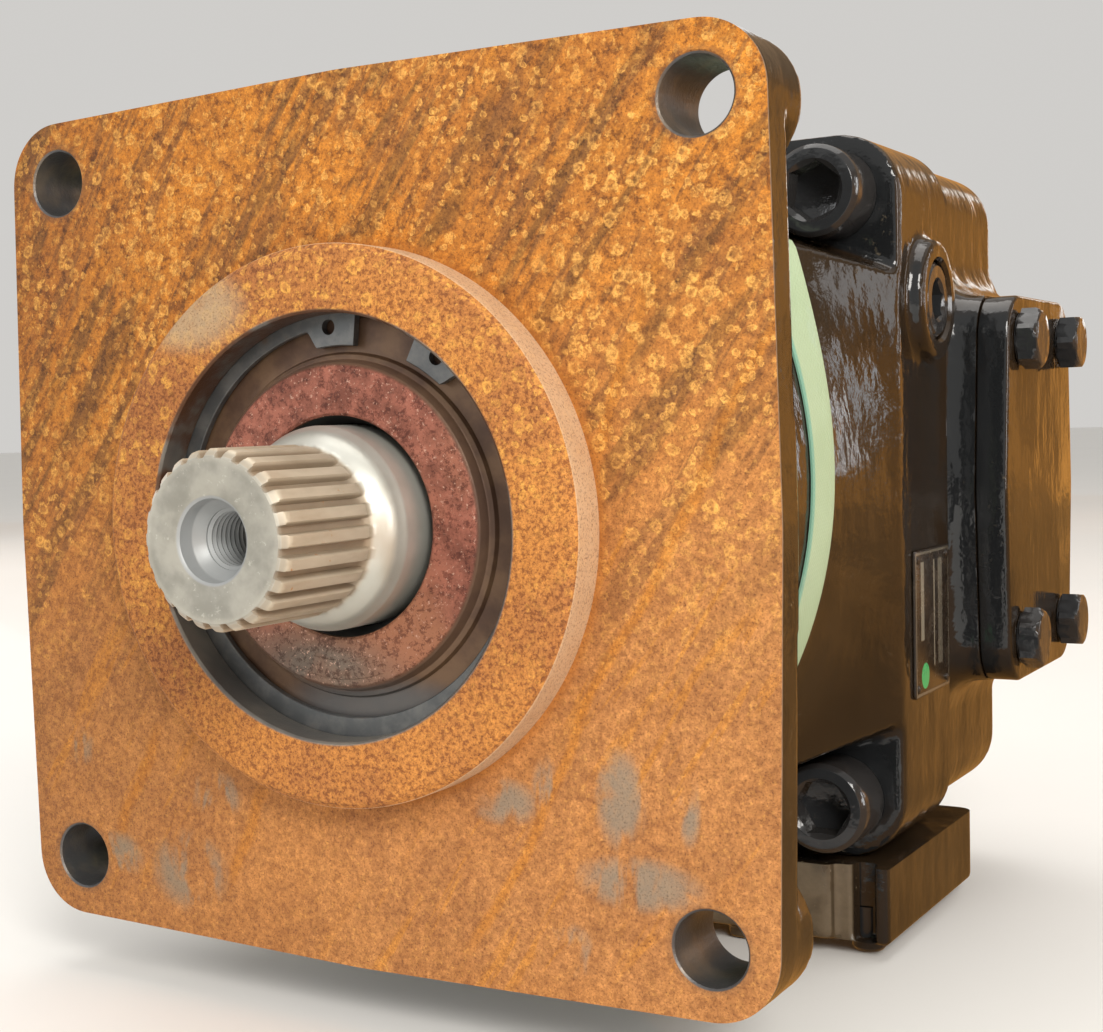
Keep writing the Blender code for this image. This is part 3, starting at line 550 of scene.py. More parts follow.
def housing_material():
    g = Net("housing_paint_and_rust")
    x, y, z = g.xyz()
    zc = g.sub(z, Z_LIFT * MM)
    r = g.math("SQRT", g.add(g.mul(x, x), g.mul(zc, zc)))
    nx, ny, nz = g.normal()
    # where the paint ends, a little behind the machined face
    wav = g.mul(g.sub(g.noise(60, 2), 0.5), 0.0006)
    front = g.step(g.add(y, wav), -0.1192, -0.1195)
    face = g.step(ny, -0.5, -0.8)
    pilot_side = g.mul(g.step(y, -0.1196, -0.1203), g.step(face, 0.5, 0.2))
    bore = g.step(r, 0.0640, 0.0632)
    hx = g.sub(g.math("ABSOLUTE", x), HOLE_HALF * MM)
    hz = g.sub(g.math("ABSOLUTE", zc), HOLE_HALF * MM)
    hd = g.math("SQRT", g.add(g.mul(hx, hx), g.mul(hz, hz)))
    hole = g.mul(g.step(hd, 0.0114, 0.0109), g.mul(g.step(y, -0.1199, -0.1195), g.step(y, -0.0890, -0.0910)))
    hole_rim = g.mul(g.step(hd, 0.0133, 0.0112), front)

    # ---- rust
    up = g.step(g.add(zc, g.mul(x, -0.18)), -0.045, 0.085)          # strong upper part
    big = g.noise(11, 4, 0.6, distort=0.7)
    mid = g.noise(45, 4, 0.65)
    orange, brown = (0.560, 0.200, 0.018), (0.400, 0.140, 0.019)
    col = g.mix(g.step(big, 0.36, 0.66), orange, brown)
    low = g.mix(g.step(mid, 0.35, 0.65), (0.500, 0.215, 0.066), (0.400, 0.166, 0.052))
    col = g.mix(g.mul(g.sub(1.0, up), 0.80), col, low)
    # rain streaks, leaning one way
    upper = g.step(g.add(zc, g.mul(x, -0.10)), -0.070, 0.020)
    outside = g.step(r, 0.080, 0.088)
    lean = g.mapped(g.mapped(rot=(0, math.radians(-37), 0)), scale=(1.0, 1.0, 0.11))
    streak = g.noise(105, 3, 0.6, vec=lean, distort=0.45)
    groups = g.step(g.noise(13, 3, 0.6), 0.30, 0.52)
    dark = g.mul(g.mul(g.step(streak, 0.50, 0.60), g.mul(groups, upper)), outside)
    col = g.mix(g.mul(dark, g.add(0.52, g.mul(up, 0.26))), col, (0.175, 0.074, 0.014))
    lean2 = g.mapped(g.mapped(rot=(0, math.radians(-33), 0)), scale=(1.0, 1.0, 0.09))
    streak2 = g.noise(230, 3, 0.6, vec=lean2, distort=0.35)
    fine_dark = g.mul(g.mul(g.step(streak2, 0.52, 0.62), g.add(g.mul(upper, 0.50), 0.10)), outside)
    col = g.mix(fine_dark, col, (0.190, 0.075, 0.020))
    lines = g.mul(g.mul(g.step(streak2, 0.44, 0.36), g.step(g.noise(16, 2), 0.42, 0.58)), outside)
    col = g.mix(g.mul(lines, 0.55), col, (0.560, 0.215, 0.022))
    # two long run marks across the right half
    for (x0, z0), (x1, z1), w in (((137, 60), (38, -126), 0.0016), ((104, 78), (80, 14), 0.0020), ((-33, -80), (-52, -118), 0.0022), ((-76, -64), (-100, -112), 0.0020)):
        dx, dz = (x1 - x0), (z1 - z0)
        ln = math.hypot(dx, dz)
        ux, uz = dx / ln, dz / ln
        px, pz = g.sub(x, x0 * MM), g.sub(zc, z0 * MM)
        along = g.add(g.mul(px, ux), g.mul(pz, uz))
        off = g.add(g.add(g.mul(px, -uz), g.mul(pz, ux)), g.mul(g.sub(g.noise(24, 3), 0.5), 0.010))
        on = g.mul(g.step(g.math("ABSOLUTE", off), w * 1.5, w * 0.3), g.mul(g.step(along, -0.004, 0.010), g.step(along, ln * MM + 0.004, ln * MM - 0.015)))
        col = g.mix(g.mul(on, 0.7), col, (0.500, 0.180, 0.018))
    # spots: small rings and blooms of fresh rust
    jitter = g.t.nodes.new("ShaderNodeVectorMath")
    jitter.operation = "ADD"
    g.put(jitter.inputs[0], g.p)
    sc = g.t.nodes.new("ShaderNodeVectorMath")
    sc.operation = "SCALE"
    g.put(sc.inputs[0], g.noise(260, 4, 0.7, color=True))
    sc.inputs["Scale"].default_value = 0.0036
    g.put(jitter.inputs[1], sc.outputs[0])
    jp = jitter.outputs[0]
    v1 = g.voronoi(185, vec=jp)
    ring1 = g.ramp(v1, (0.0, 0.45), (0.16, 0.15), (0.30, 1.0), (0.42, 0.0))
    c1 = g.xyz(g.voronoi(185, vec=jp, out="Color"))[0]
    field = g.step(g.noise(20, 3, 0.6), 0.36, 0.58)
    spots1 = g.mul(g.mul(ring1, g.step(c1, 0.20, 0.40)), g.mul(field, g.add(g.mul(upper, 0.95), 0.08)))
    v3 = g.voronoi(330, vec=jp)
    ring3 = g.ramp(v3, (0.0, 0.9), (0.20, 0.35), (0.32, 1.0), (0.44, 0.0))
    c3 = g.xyz(g.voronoi(330, vec=jp, out="Color"))[2]
    spots3 = g.mul(g.mul(ring3, g.step(c3, 0.30, 0.50)), g.add(g.mul(upper, 0.85), 0.10))
    spots3 = g.mul(spots3, g.step(g.noise(34, 3), 0.34, 0.56))
    v2 = g.voronoi(640, vec=jp)
    c2 = g.xyz(g.voronoi(640, vec=jp, out="Color"))[1]
    spots2 = g.mul(g.mul(g.step(v2, 0.46, 0.22), g.step(c2, 0.45, 0.62)), g.add(g.mul(up, 0.50), 0.42))
    spots2 = g.mul(spots2, g.step(g.noise(30, 3), 0.34, 0.56))
    pilot_zone = g.step(r, 0.0832, 0.0820)
    spots = g.math("MINIMUM", g.add(g.add(spots1, spots3), g.mul(spots2, 0.8)), 1.0)
    broken = g.step(g.noise(430, 4, 0.75), 0.31, 0.50)
    spots = g.mul(g.mul(spots, broken), g.sub(1.0, g.mul(dark, 0.35)))
    mottle = g.noise(260, 6, 0.78)
    speckle = g.noise(620, 4, 0.75)
    upmix = g.add(g.mul(up, 0.75), 0.15)
    col = g.mix(g.mul(g.step(mottle, 0.50, 0.62), upmix), col, g.mix(1.0, col, (0.42, 0.36, 0.30), "MULTIPLY"))
    col = g.mix(g.mul(g.step(mottle, 0.46, 0.34), 0.55), col, g.mix(1.0, col, (1.45, 1.55, 1.60), "MULTIPLY"))
    col = g.mix(g.mul(spots, 0.92), col, (0.800, 0.400, 0.085))
    col = g.mix(g.mul(g.step(speckle, 0.50, 0.60), 0.60), col, g.mix(1.0, col, (0.55, 0.47, 0.42), "MULTIPLY"))
    col = g.mix(g.mul(g.step(speckle, 0.47, 0.38), 0.55), col, g.mix(1.0, col, (1.40, 1.45, 1.50), "MULTIPLY"))
    # the raised ring is more evenly orange, greyed at its upper left
    pil = g.mix(g.step(g.noise(28, 4, 0.6), 0.35, 0.65), (0.550, 0.215, 0.042), (0.400, 0.145, 0.036))
    pil = g.mix(g.mul(g.step(speckle, 0.49, 0.58), 0.85), pil, g.mix(1.0, pil, (0.46, 0.36, 0.32), "MULTIPLY"))
    pil = g.mix(g.mul(g.step(speckle, 0.46, 0.37), 0.60), pil, g.mix(1.0, pil, (1.40, 1.50, 1.55), "MULTIPLY"))
    pil = g.mix(g.mul(g.step(mottle, 0.52, 0.64), 0.35), pil, g.mix(1.0, pil, (0.55, 0.46, 0.42), "MULTIPLY"))
    pil = g.mix(g.mul(g.math("MINIMUM", g.mul(g.add(g.add(spots1, spots3), spots2), 0.85), 1.0), broken), pil, (0.800, 0.390, 0.070))
    pgrey = g.mul(g.blob((x, y, z), -47, 66, 26, 15), g.step(g.noise(42, 4), 0.30, 0.55))
    pil = g.mix(g.mul(pgrey, 0.8), pil, (0.480, 0.350, 0.210))
    col = g.mix(pilot_zone, col, pil)
    # the ring's outer wall, dusty tan
    wall = g.mul(pilot_side, g.sub(1.0, bore))
    wall = g.mul(wall, g.step(r, 0.0805, 0.0815))
    col = g.mix(g.mul(wall, 0.85), col, g.mix(g.noise(90, 3), (0.680, 0.480, 0.300), (0.560, 0.340, 0.180)))
    # dark line and rust build-up in the corner round the ring
    corner = g.mul(g.mul(g.step(r, 0.0858, 0.0829), g.step(r, 0.0822, 0.0826)), g.sub(1.0, pilot_side))
    col = g.mix(g.mul(corner, 0.6), col, (0.420, 0.140, 0.015))
    # bare scuffs near the bottom
    scuff = None
    for bx, bz, rx, rz in ((87, -74, 9, 17), (92, -97, 22, 9), (71, -118, 9, 9), (66, -73, 7, 11), (107, -75, 4, 12),
                           (-66, -112, 18, 15), (-119, -75, 16, 9), (-96, -110, 12, 9), (-54, -86, 12, 9), (50, -78, 14, 8)):
        b = g.blob((x, y, z), bx, bz, rx, rz)
        scuff = b if scuff is None else g.math("MAXIMUM", scuff, b)
    smear = g.noise(70, 4, 0.6, vec=g.mapped(rot=(0, math.radians(30), 0), scale=(1.0, 1.0, 0.35)), distort=0.8)
    scuff = g.mul(scuff, g.step(smear, 0.50, 0.62))
    col = g.mix(g.mul(scuff, 0.75), col, (0.235, 0.205, 0.150))
    # fine grain
    grain = g.noise(1500, 3, 0.7)
    col = g.mix(g.mul(g.step(grain, 0.52, 0.66), 0.85), col, g.mix(1.0, col, (0.42, 0.36, 0.32), "MULTIPLY"))
    pits = g.step(g.noise(700, 3, 0.7), 0.60, 0.72)
    col = g.mix(g.mul(pits, 0.5), col, (0.170, 0.060, 0.022))

    # darker towards the left, as in the photograph
    # painted shade: the rust is painted darker on the left, as if the light fell from the right
    shade = g.step(x, -0.150, 0.030, False)
    col = g.mix(g.mul(g.sub(1.0, shade), 0.90), col, g.mix(1.0, col, (0.66, 0.62, 0.52), "MULTIPLY"))

    # ---- bore wall and bolt holes: bare dark steel
    steel = g.mix(g.step(g.noise(40, 3), 0.4, 0.65), (0.150, 0.140, 0.128), (0.245, 0.222, 0.188))
    stain = g.step(g.add(g.noise(50, 3), g.mul(zc, 3.0)), 0.50, 0.66)
    steel = g.mix(stain, steel, (0.120, 0.055, 0.028))
    hsteel = g.mix(g.step(g.noise(80, 3), 0.42, 0.7), (0.110, 0.110, 0.112), (0.200, 0.165, 0.130))
    col = g.mix(bore, col, steel)
    col = g.mix(g.mul(g.step(hd, 0.0135, 0.0115), g.mul(front, 0.30)), col, (0.150, 0.075, 0.035))

    # ---- paint over everything else
    base, prough, pnrm = paint_layers(g, 0.30)
    # the bare strip along the front edge
    strip = g.mul(g.step(face, 0.6, 0.2), g.step(r, 0.100, 0.110))
    col = g.mix(g.mul(strip, 0.85), col, (0.230, 0.150, 0.095))
    col = g.mix(front, base, col)
    col = g.mix(hole, col, hsteel)
    bare = g.math("MAXIMUM", front, hole)
    metal_here = g.math("MAXIMUM", hole, g.mul(bore, front))
    rough = g.add(0.72, g.mul(g.noise(200, 3), 0.25))
    rough = g.add(g.mul(g.sub(rough, g.mul(scuff, 0.25)), g.sub(1.0, metal_here)), g.mul(metal_here, 0.42))
    nrm_h = g.add(g.add(g.mul(g.noise(520, 4, 0.7), 0.55), g.mul(spots, 0.35)), g.mul(g.noise(1400, 2, 0.6), 0.35))
    rust_n = g.bump(nrm_h, 0.55, 0.00042)
    nmix = g.t.nodes.new("ShaderNodeMix")
    nmix.data_type = "VECTOR"
    g.put(nmix.inputs[0], bare)
    g.put(nmix.inputs[4], pnrm)
    g.put(nmix.inputs[5], rust_n)
    rough = g.add(g.mul(prough, g.sub(1.0, bare)), g.mul(rough, bare))
    return g.set(Base_Color=col, Roughness=rough, Normal=nmix.outputs[1], Metallic=g.mul(metal_here, 0.6),
                 Specular_IOR_Level=0.5)


def steel_material(name, base, dark, rough=0.34, metallic=1.0, axis_scale=(1, 1, 1), rust=0.0, scale=260, bump=0.08):
    g = Net(name)
    lines = g.noise(scale, 3, 0.6, vec=g.mapped(scale=axis_scale))
    col = g.mix(g.step(g.noise(30, 3), 0.35, 0.7), base, dark)
    col = g.mix(g.mul(g.step(lines, 0.5, 0.75), 0.35), col, dark)
    r = g.add(g.mul(lines, 0.22), rough - 0.1)
    if rust > 0:
        m = g.mul(g.step(g.noise(85, 4, 0.65), 0.58, 0.74), rust)
        col = g.mix(m, col, (0.30, 0.11, 0.03))
        r = g.add(r, g.mul(m, 0.3))
    return g.set(Base_Color=col, Roughness=r, Metallic=metallic, Normal=g.bump(lines, bump, 0.0002))


def shaft_material():
    g = Net("shaft_steel_turned")
    x, y, z = g.xyz()
    zc = g.sub(z, Z_LIFT * MM)
    r = g.math("SQRT", g.add(g.mul(x, x), g.mul(zc, zc)))
    endf = g.step(y, -0.1842, -0.1847)
    spl = g.mul(g.step(y, -0.1425, -0.1440), g.sub(1.0, endf))
    tip = g.step(r, 0.0236, 0.0245)
    rings = g.noise(900, 2, 0.5, vec=g.mapped(scale=(0.05, 1.0, 0.05)))
    col = g.mix(g.step(g.noise(26, 4), 0.35, 0.65), (0.66, 0.66, 0.60), (0.50, 0.50, 0.44))
    land = g.mix(g.step(g.noise(90, 4, 0.65, vec=g.mapped(scale=(1, 0.25, 1))), 0.35, 0.65), (0.570, 0.500, 0.385), (0.440, 0.375, 0.275))
    col = g.mix(spl, col, land)
    # tooth flanks and grooves painted darker brown: painted shade in the grooves between the teeth
    flank_painted_shade = g.mul(spl, g.sub(1.0, tip))
    col = g.mix(g.mul(flank_painted_shade, 0.7), col, g.mix(g.noise(120, 3), (0.200, 0.155, 0.110), (0.330, 0.260, 0.180)))
    brown = g.mul(g.mul(spl, g.step(g.noise(60, 4, 0.65, vec=g.mapped(scale=(1, 0.3, 1))), 0.46, 0.66)), 0.65)
    col = g.mix(g.mul(brown, 0.5), col, (0.420, 0.300, 0.190))
    rust = g.mul(g.step(g.noise(240, 4, 0.7), 0.62, 0.72), g.step(g.noise(45, 3), 0.50, 0.60))
    rust = g.mul(rust, g.add(g.mul(spl, 0.8), 0.1))
    col = g.mix(rust, col, (0.470, 0.190, 0.045))
    endc = g.mix(g.step(g.noise(70, 4, 0.6), 0.35, 0.65), (0.395, 0.378, 0.325), (0.270, 0.260, 0.222))
    scr = g.step(g.noise(380, 4, 0.75), 0.60, 0.70)
    endc = g.mix(g.mul(scr, 0.5), endc, (0.58, 0.56, 0.49))
    rim = g.mul(g.step(r, 0.0205, 0.0222), g.step(y, -0.1828, -0.1836))
    col = g.mix(endf, col, endc)
    col = g.mix(g.mul(rim, 0.35), col, (0.50, 0.47, 0.40))
    inner = g.mul(g.step(r, 0.0125, 0.0118), g.step(y, -0.150, -0.165))
    col = g.mix(inner, col, (0.36, 0.37, 0.37))
    rough = g.add(g.mul(rings, 0.14), 0.30)
    rough = g.add(rough, g.add(g.mul(endf, 0.24), g.add(g.mul(spl, 0.10), g.mul(rust, 0.35))))
    nrm = g.bump(rings, 0.10, 0.00015)
    nrm = g.bump(g.add(g.noise(650, 3, 0.6), rust), 0.12, 0.00018, nrm)
    metal = g.math("MAXIMUM", g.sub(0.62, g.add(g.mul(rust, 0.5), g.add(g.mul(endf, 0.12), g.mul(spl, 0.32)))), 0.0)
    return g.set(Base_Color=col, Roughness=rough, Metallic=metal, Normal=nrm)


def carrier_material():
    g = Net("seal_carrier_rust")
    x, y, z = g.xyz()
    zc = g.sub(z, Z_LIFT * MM)
    r = g.math("SQRT", g.add(g.mul(x, x), g.mul(zc, zc)))
    raised = g.mul(g.step(r, 0.0482, 0.0472), g.step(y, -0.1245, -0.1252))
    a = g.mix(g.step(g.noise(120, 4, 0.7), 0.35, 0.65), (0.380, 0.135, 0.088), (0.200, 0.066, 0.042))
    a = g.mix(g.step(g.noise(14, 3), 0.42, 0.62), a, (0.360, 0.150, 0.080))
    b = g.mix(g.step(g.noise(60, 4, 0.6), 0.35, 0.65), (0.085, 0.045, 0.028), (0.165, 0.095, 0.052))
    b = g.mix(g.mul(g.blob((x, y, z), 10, -56, 44, 14), 0.85), b, (0.110, 0.112, 0.112))
    col = g.mix(raised, b, a)
    patch = g.mul(g.blob((x, y, z), -8, -42, 20, 8), g.step(g.noise(90, 3), 0.35, 0.55))
    col = g.mix(g.mul(patch, 0.8), col, (0.190, 0.165, 0.135))
    # painted shadow of the shaft on the lower left of the raised ring
    shaft_shadow_painted = g.mul(g.blob((x, y, z), -14, -46, 46, 20), raised)
    col = g.mix(g.mul(shaft_shadow_painted, 0.75), col, g.mix(g.noise(80, 3), (0.085, 0.066, 0.050), (0.180, 0.140, 0.105)))
    grit = g.noise(520, 4, 0.8)
    col = g.mix(g.mul(g.step(grit, 0.50, 0.60), g.mul(raised, 0.85)), col, g.mix(1.0, col, (0.40, 0.30, 0.28), "MULTIPLY"))
    sp = g.mul(g.step(g.noise(900, 3, 0.7), 0.60, 0.70), raised)
    col = g.mix(g.mul(sp, 0.75), col, (0.640, 0.400, 0.300))
    edge = g.mul(g.step(r, 0.0470, 0.0480), g.step(r, 0.0500, 0.0488))
    col = g.mix(g.mul(edge, 0.30), col, (0.270, 0.165, 0.120))
    h = g.add(g.noise(420, 4, 0.7), g.mul(g.noise(1200, 2), 0.5))
    rough = g.add(0.40, g.add(g.mul(raised, 0.18), g.mul(g.noise(300, 3), 0.15)))
    nrm = g.bump(g.mul(h, g.add(g.mul(raised, 0.85), 0.15)), 0.75, 0.0006)
    return g.set(Base_Color=col, Roughness=rough, Metallic=0.35, Normal=nrm)


def strap_material():
    g = Net("strap_green_embossed")
    x, y, z = g.xyz()
    zc = g.sub(z, Z_LIFT * MM)
    ang = g.math("ARCTAN2", zc, x)
    slope = g.sub(y, g.mul(g.math("SINE", ang), 0.020))
    a = g.math("SINE", g.mul(ang, 420.0))
    b = g.math("SINE", g.mul(slope, 3900.0))
    tex = g.mul(g.add(g.mul(a, b), 1.0), 0.5)
    fold = g.noise(40, 3, 0.5, vec=g.mapped(scale=(1, 2.2, 1)))
    col = g.mix(g.step(g.noise(24, 3), 0.35, 0.7), (0.400, 0.490, 0.300), (0.455, 0.545, 0.350))
    col = g.mix(g.mul(tex, 0.26), col, (0.330, 0.460, 0.270))
    front_edge = g.step(slope, -0.0384, -0.0392)
    col = g.mix(g.mul(front_edge, 0.7), col, (0.100, 0.330, 0.260))
    band = g.mul(g.step(fold, 0.55, 0.62), g.step(fold, 0.72, 0.63))
    col = g.mix(g.mul(band, 0.4), col, (0.400, 0.500, 0.360))
    nrm = g.bump(tex, 0.55, 0.00025)
    nrm = g.bump(fold, 0.25, 0.0006, nrm)
    return g.set(Base_Color=col, Roughness=g.add(0.34, g.mul(tex, 0.16)), Normal=nrm, Specular_IOR_Level=0.5)


def ring_material():
    g = Net("snap_ring_steel")
    n = g.noise(140, 4, 0.65)
    col = g.mix(g.step(n, 0.35, 0.7), (0.105, 0.110, 0.112), (0.165, 0.165, 0.160))
    rust = g.mul(g.step(g.noise(70, 4), 0.60, 0.74), 0.6)
    col = g.mix(rust, col, (0.120, 0.065, 0.035))
    return g.set(Base_Color=col, Roughness=g.add(0.32, g.mul(n, 0.2)), Metallic=0.7, Normal=g.bump(n, 0.15, 0.0003))


def plate_material():
    g = Net("nameplate_painted_over")
    x, y, z = g.xyz()
    zc = g.sub(z, Z_LIFT * MM)
    n = g.noise(160, 4, 0.65)
    col = g.mix(g.step(n, 0.35, 0.7), (0.020, 0.014, 0.010), (0.045, 0.032, 0.021))
    # blank ruled fields: three plain bars, no lettering
    y0, z0 = g.sub(y, (157 + Y_SHIFT) * MM), g.sub(zc, -68 * MM)
    bar1 = g.mul(g.mul(g.step(y0, 0.0062, 0.0067), g.step(y0, 0.0104, 0.0099)), g.mul(g.step(z0, 0.019, 0.0195), g.step(z0, 0.0462, 0.0457)))
    bar2 = g.mul(g.mul(g.step(y0, 0.0262, 0.0267), g.step(y0, 0.0318, 0.0313)), g.mul(g.step(z0, 0.0090, 0.0095), g.step(z0, 0.0462, 0.0457)))
    bar3 = g.mul(g.mul(g.step(y0, 0.0210, 0.0214), g.step(y0, 0.0228, 0.0224)), g.mul(g.step(z0, 0.0090, 0.0095), g.step(z0, 0.0462, 0.0457)))
    rows = g.math("MINIMUM", g.add(bar1, g.add(g.mul(bar2, 0.6), bar3)), 1.0)
    col = g.mix(g.mul(rows, 0.8), col, (0.240, 0.205, 0.150))
    frame_line = g.math("MINIMUM", g.math("MINIMUM", y0, g.sub(0.040, y0)), g.math("MINIMUM", z0, g.sub(0.050, z0)))
    rim = g.mul(g.step(frame_line, 0.0004, 0.0008), g.step(frame_line, 0.0018, 0.0014))
    col = g.mix(g.mul(rim, 0.5), col, (0.200, 0.170, 0.125))
    dy, dz = g.sub(y0, 0.0110), g.sub(z0, 0.0070)
    d = g.math("SQRT", g.add(g.mul(dy, dy), g.mul(dz, dz)))
    dot = g.step(d, 0.0046, 0.0042)
    col = g.mix(dot, col, (0.020, 0.360, 0.120))
    return g.set(Base_Color=col, Roughness=g.add(0.16, g.mul(n, 0.2)),
                 Normal=g.bump(g.add(rows, g.mul(rim, 0.6)), 0.5, 0.0003))


def rubber_material():
    g = Net("nitrile_rubber")
    n = g.noise(300, 4, 0.7)
    return g.set(Base_Color=g.mix(n, (0.012, 0.012, 0.012), (0.030, 0.028, 0.026)),
                 Roughness=g.add(0.38, g.mul(n, 0.25)), Normal=g.bump(n, 0.2, 0.0002))


M_HOUSING = housing_material()
M_PAINT = gloss_paint("black_gloss_paint", 0.26)
M_COVER = gloss_paint("cover_gloss_paint", 0.20)
M_SCREW = gloss_paint("screw_gloss_paint", 0.16, (0.030, 0.031, 0.033))
M_LOW = gloss_paint("lower_gloss_paint", 0.42, dusty=True)
M_SHAFT = shaft_material()
M_CARRIER = carrier_material()
M_STRAP = strap_material()
M_RING = ring_material()
M_PLATE = plate_material()
M_RUBBER = rubber_material()
M_BEARING = steel_material("bearing_ground_steel", (0.56, 0.56, 0.57), (0.42, 0.42, 0.43), 0.24, 1.0, (0.1, 1, 0.1), 0.0, 700, 0.05)
M_BARREL = steel_material("barrel_machined_steel", (0.40, 0.40, 0.41), (0.27, 0.27, 0.28), 0.34, 1.0, (0.1, 1, 0.1), 0.05, 420, 0.08)
M_SPRING = steel_material("spring_wire_steel", (0.30, 0.30, 0.32), (0.18, 0.18, 0.19), 0.36, 1.0, (1, 1, 1), 0.05, 500, 0.1)
M_BRONZE = steel_material("bearing_bronze", (0.60, 0.40, 0.17), (0.43, 0.27, 0.11), 0.34, 1.0, (0.1, 1, 0.1), 0.0, 500, 0.07)

# ================================================================ camera, floor, light (first, so a view is never without them)
cam = bpy.data.cameras.new("camera")
cam.sensor_fit = "HORIZONTAL"
cam.sensor_width = 36.0
cam.lens = 57.19
cam.shift_x = 0.18159
cam.shift_y = 0.01385
cam.clip_start, cam.clip_end = 0.02, 60.0
camera = bpy.data.objects.new("camera", cam)
bpy.context.scene.collection.objects.link(camera)
right = (0.82677747, 0.56171427, -0.03026714)
up = (-0.00859541, 0.06641398, 0.99775513)
fwd = (-0.56246346, 0.8246613, -0.05973774)
eye = (0.294154, -0.549635, 0.181464)
camera.matrix_world = Matrix(((right[0], up[0], -fwd[0], eye[0]), (right[1], up[1], -fwd[1], eye[1]),
                              (right[2], up[2], -fwd[2], eye[2]), (0, 0, 0, 1)))
bpy.context.scene.camera = camera


def floor_material():
    g = Net("floor_pale")
    n = g.noise(3, 3, 0.5)
    return g.set(Base_Color=g.mix(n, (0.80, 0.785, 0.755), (0.84, 0.825, 0.80)), Roughness=0.7, Specular_IOR_Level=0.2)


me = bpy.data.meshes.new("floor")
S = 14.0
me.from_pydata([(-S, -S, -0.0004), (S, -S, -0.0004), (S, S, -0.0004), (-S, S, -0.0004)], [], [(0, 1, 2, 3)])
floor = bpy.data.objects.new("floor", me)
bpy.context.scene.collection.objects.link(floor)
me.materials.append(floor_material())

world = bpy.data.worlds.new("studio")
world.use_nodes = True
bg = world.node_tree.nodes["Background"]
bg.inputs[0].default_value = (0.95, 0.93, 0.90, 1.0)
bg.inputs[1].default_value = 0.66
bpy.context.scene.world = world
bpy.context.scene.view_settings.view_transform = "Standard"


def lamp(name, where, target, w, h, power, colour=(1, 1, 1), spread=180):
    d = bpy.data.lights.new(name, "AREA")
    d.shape = "RECTANGLE"
    d.size, d.size_y = w, h
    d.energy = power
    d.color = colour
    d.spread = math.radians(spread)
    o = bpy.data.objects.new(name, d)
    bpy.context.scene.collection.objects.link(o)
    o.location = where
    o.rotation_mode = "QUATERNION"
    o.rotation_quaternion = (Vector(target) - Vector(where)).to_track_quat("-Z", "Y")
    o.visible_camera = False
    return o


MID = (0.0, 0.0, 0.15)
lamp("key", (1.7, -1.75, 1.5), MID, 1.1, 1.0, 56, (1.0, 0.97, 0.92))
lamp("fill", (-1.7, -1.9, 1.0), MID, 1.5, 1.3, 15, (0.97, 0.98, 1.0))
lamp("top", (0.0, 0.4, 2.4), MID, 1.8, 1.8, 24, (1.0, 0.98, 0.95))
lamp("left", (-2.3, 0.5, 0.9), MID, 1.4, 1.2, 12, (1.0, 0.98, 0.95))


def room_material(floor_card=False):
    """what the gloss paint mirrors: a warm room with a few window lights"""
    g = Net("room_floor" if floor_card else "room_wall")
    x, y, z = g.xyz()
    if floor_card:
        col = g.mix(g.step(g.noise(1.6, 3, 0.6), 0.35, 0.65), (0.330, 0.160, 0.045), (0.700, 0.320, 0.080))
        return g.set(Base_Color=(0, 0, 0), Specular_IOR_Level=0.0, Emission_Color=col, Emission_Strength=1.0)
    az = g.math("ARCTAN2", x, y)
    el = g.math("DIVIDE", z, 3.2)
    big = g.noise(0.9, 3, 0.6, vec=g.mapped(scale=(1, 1, 1.4)))
    col = g.mix(g.step(big, 0.36, 0.62), (0.420, 0.190, 0.048), (1.050, 0.460, 0.098))
    col = g.mix(g.step(el, 0.20, 0.48), col, (0.340, 0.230, 0.140))
    for a0, w, e0, h, c in ((0.58, 0.030, 0.22, 0.16, (4.2, 4.4, 4.6)), (0.05, 0.035, 0.24, 0.14, (3.2, 3.2, 3.1)),
                            (0.78, 0.050, 0.24, 0.16, (2.6, 2.7, 2.8)), (1.15, 0.12, 0.30, 0.22, (2.4, 2.4, 2.4)),
                            (-0.30, 0.06, 0.30, 0.20, (1.2, 1.2, 1.2)), (1.80, 0.09, 0.24, 0.26, (11.0, 11.0, 11.0))):
        on = g.mul(g.step(g.math("ABSOLUTE", g.sub(az, a0)), w, w * 0.5), g.step(g.math("ABSOLUTE", g.sub(el, e0)), h, h * 0.7))
        col = g.mix(on, col, c)
    return g.set(Base_Color=(0, 0, 0), Specular_IOR_Level=0.0, Emission_Color=col, Emission_Strength=1.0)


def mirror_only(name, verts, faces, mat):
    me = bpy.data.meshes.new(name)
    me.from_pydata(verts, [], faces)
    me.materials.append(mat)
    o = bpy.data.objects.new(name, me)
    bpy.context.scene.collection.objects.link(o)
    for flag in ("visible_camera", "visible_diffuse", "visible_shadow", "visible_transmission", "visible_volume_scatter"):
        setattr(o, flag, False)
    return o


verts, faces = [], []
for i in range(49):
    t = math.radians(-55 + 190 * i / 48)
    verts += [(3.2 * math.sin(t), 3.2 * math.cos(t), -0.02), (3.2 * math.sin(t), 3.2 * math.cos(t), 2.4)]
for i in range(48):
    faces.append((2 * i, 2 * i + 2, 2 * i + 3, 2 * i + 1))
mirror_only("room_wall", verts, faces, room_material())
verts = [(0.0, 0.0, 0.0002)] + [(3.2 * math.sin(math.radians(-55 + 190 * i / 48)), 3.2 * math.cos(math.radians(-55 + 190 * i / 48)), 0.0002) for i in range(49)]
mirror_only("room_floor", verts, [(0, i + 2, i + 1) for i in range(48)], room_material(True))


# ================================================================ the cast housing
SQUARE = rounded_rect(HALF_X, HALF_Z, CORNER_R, 12, 18)


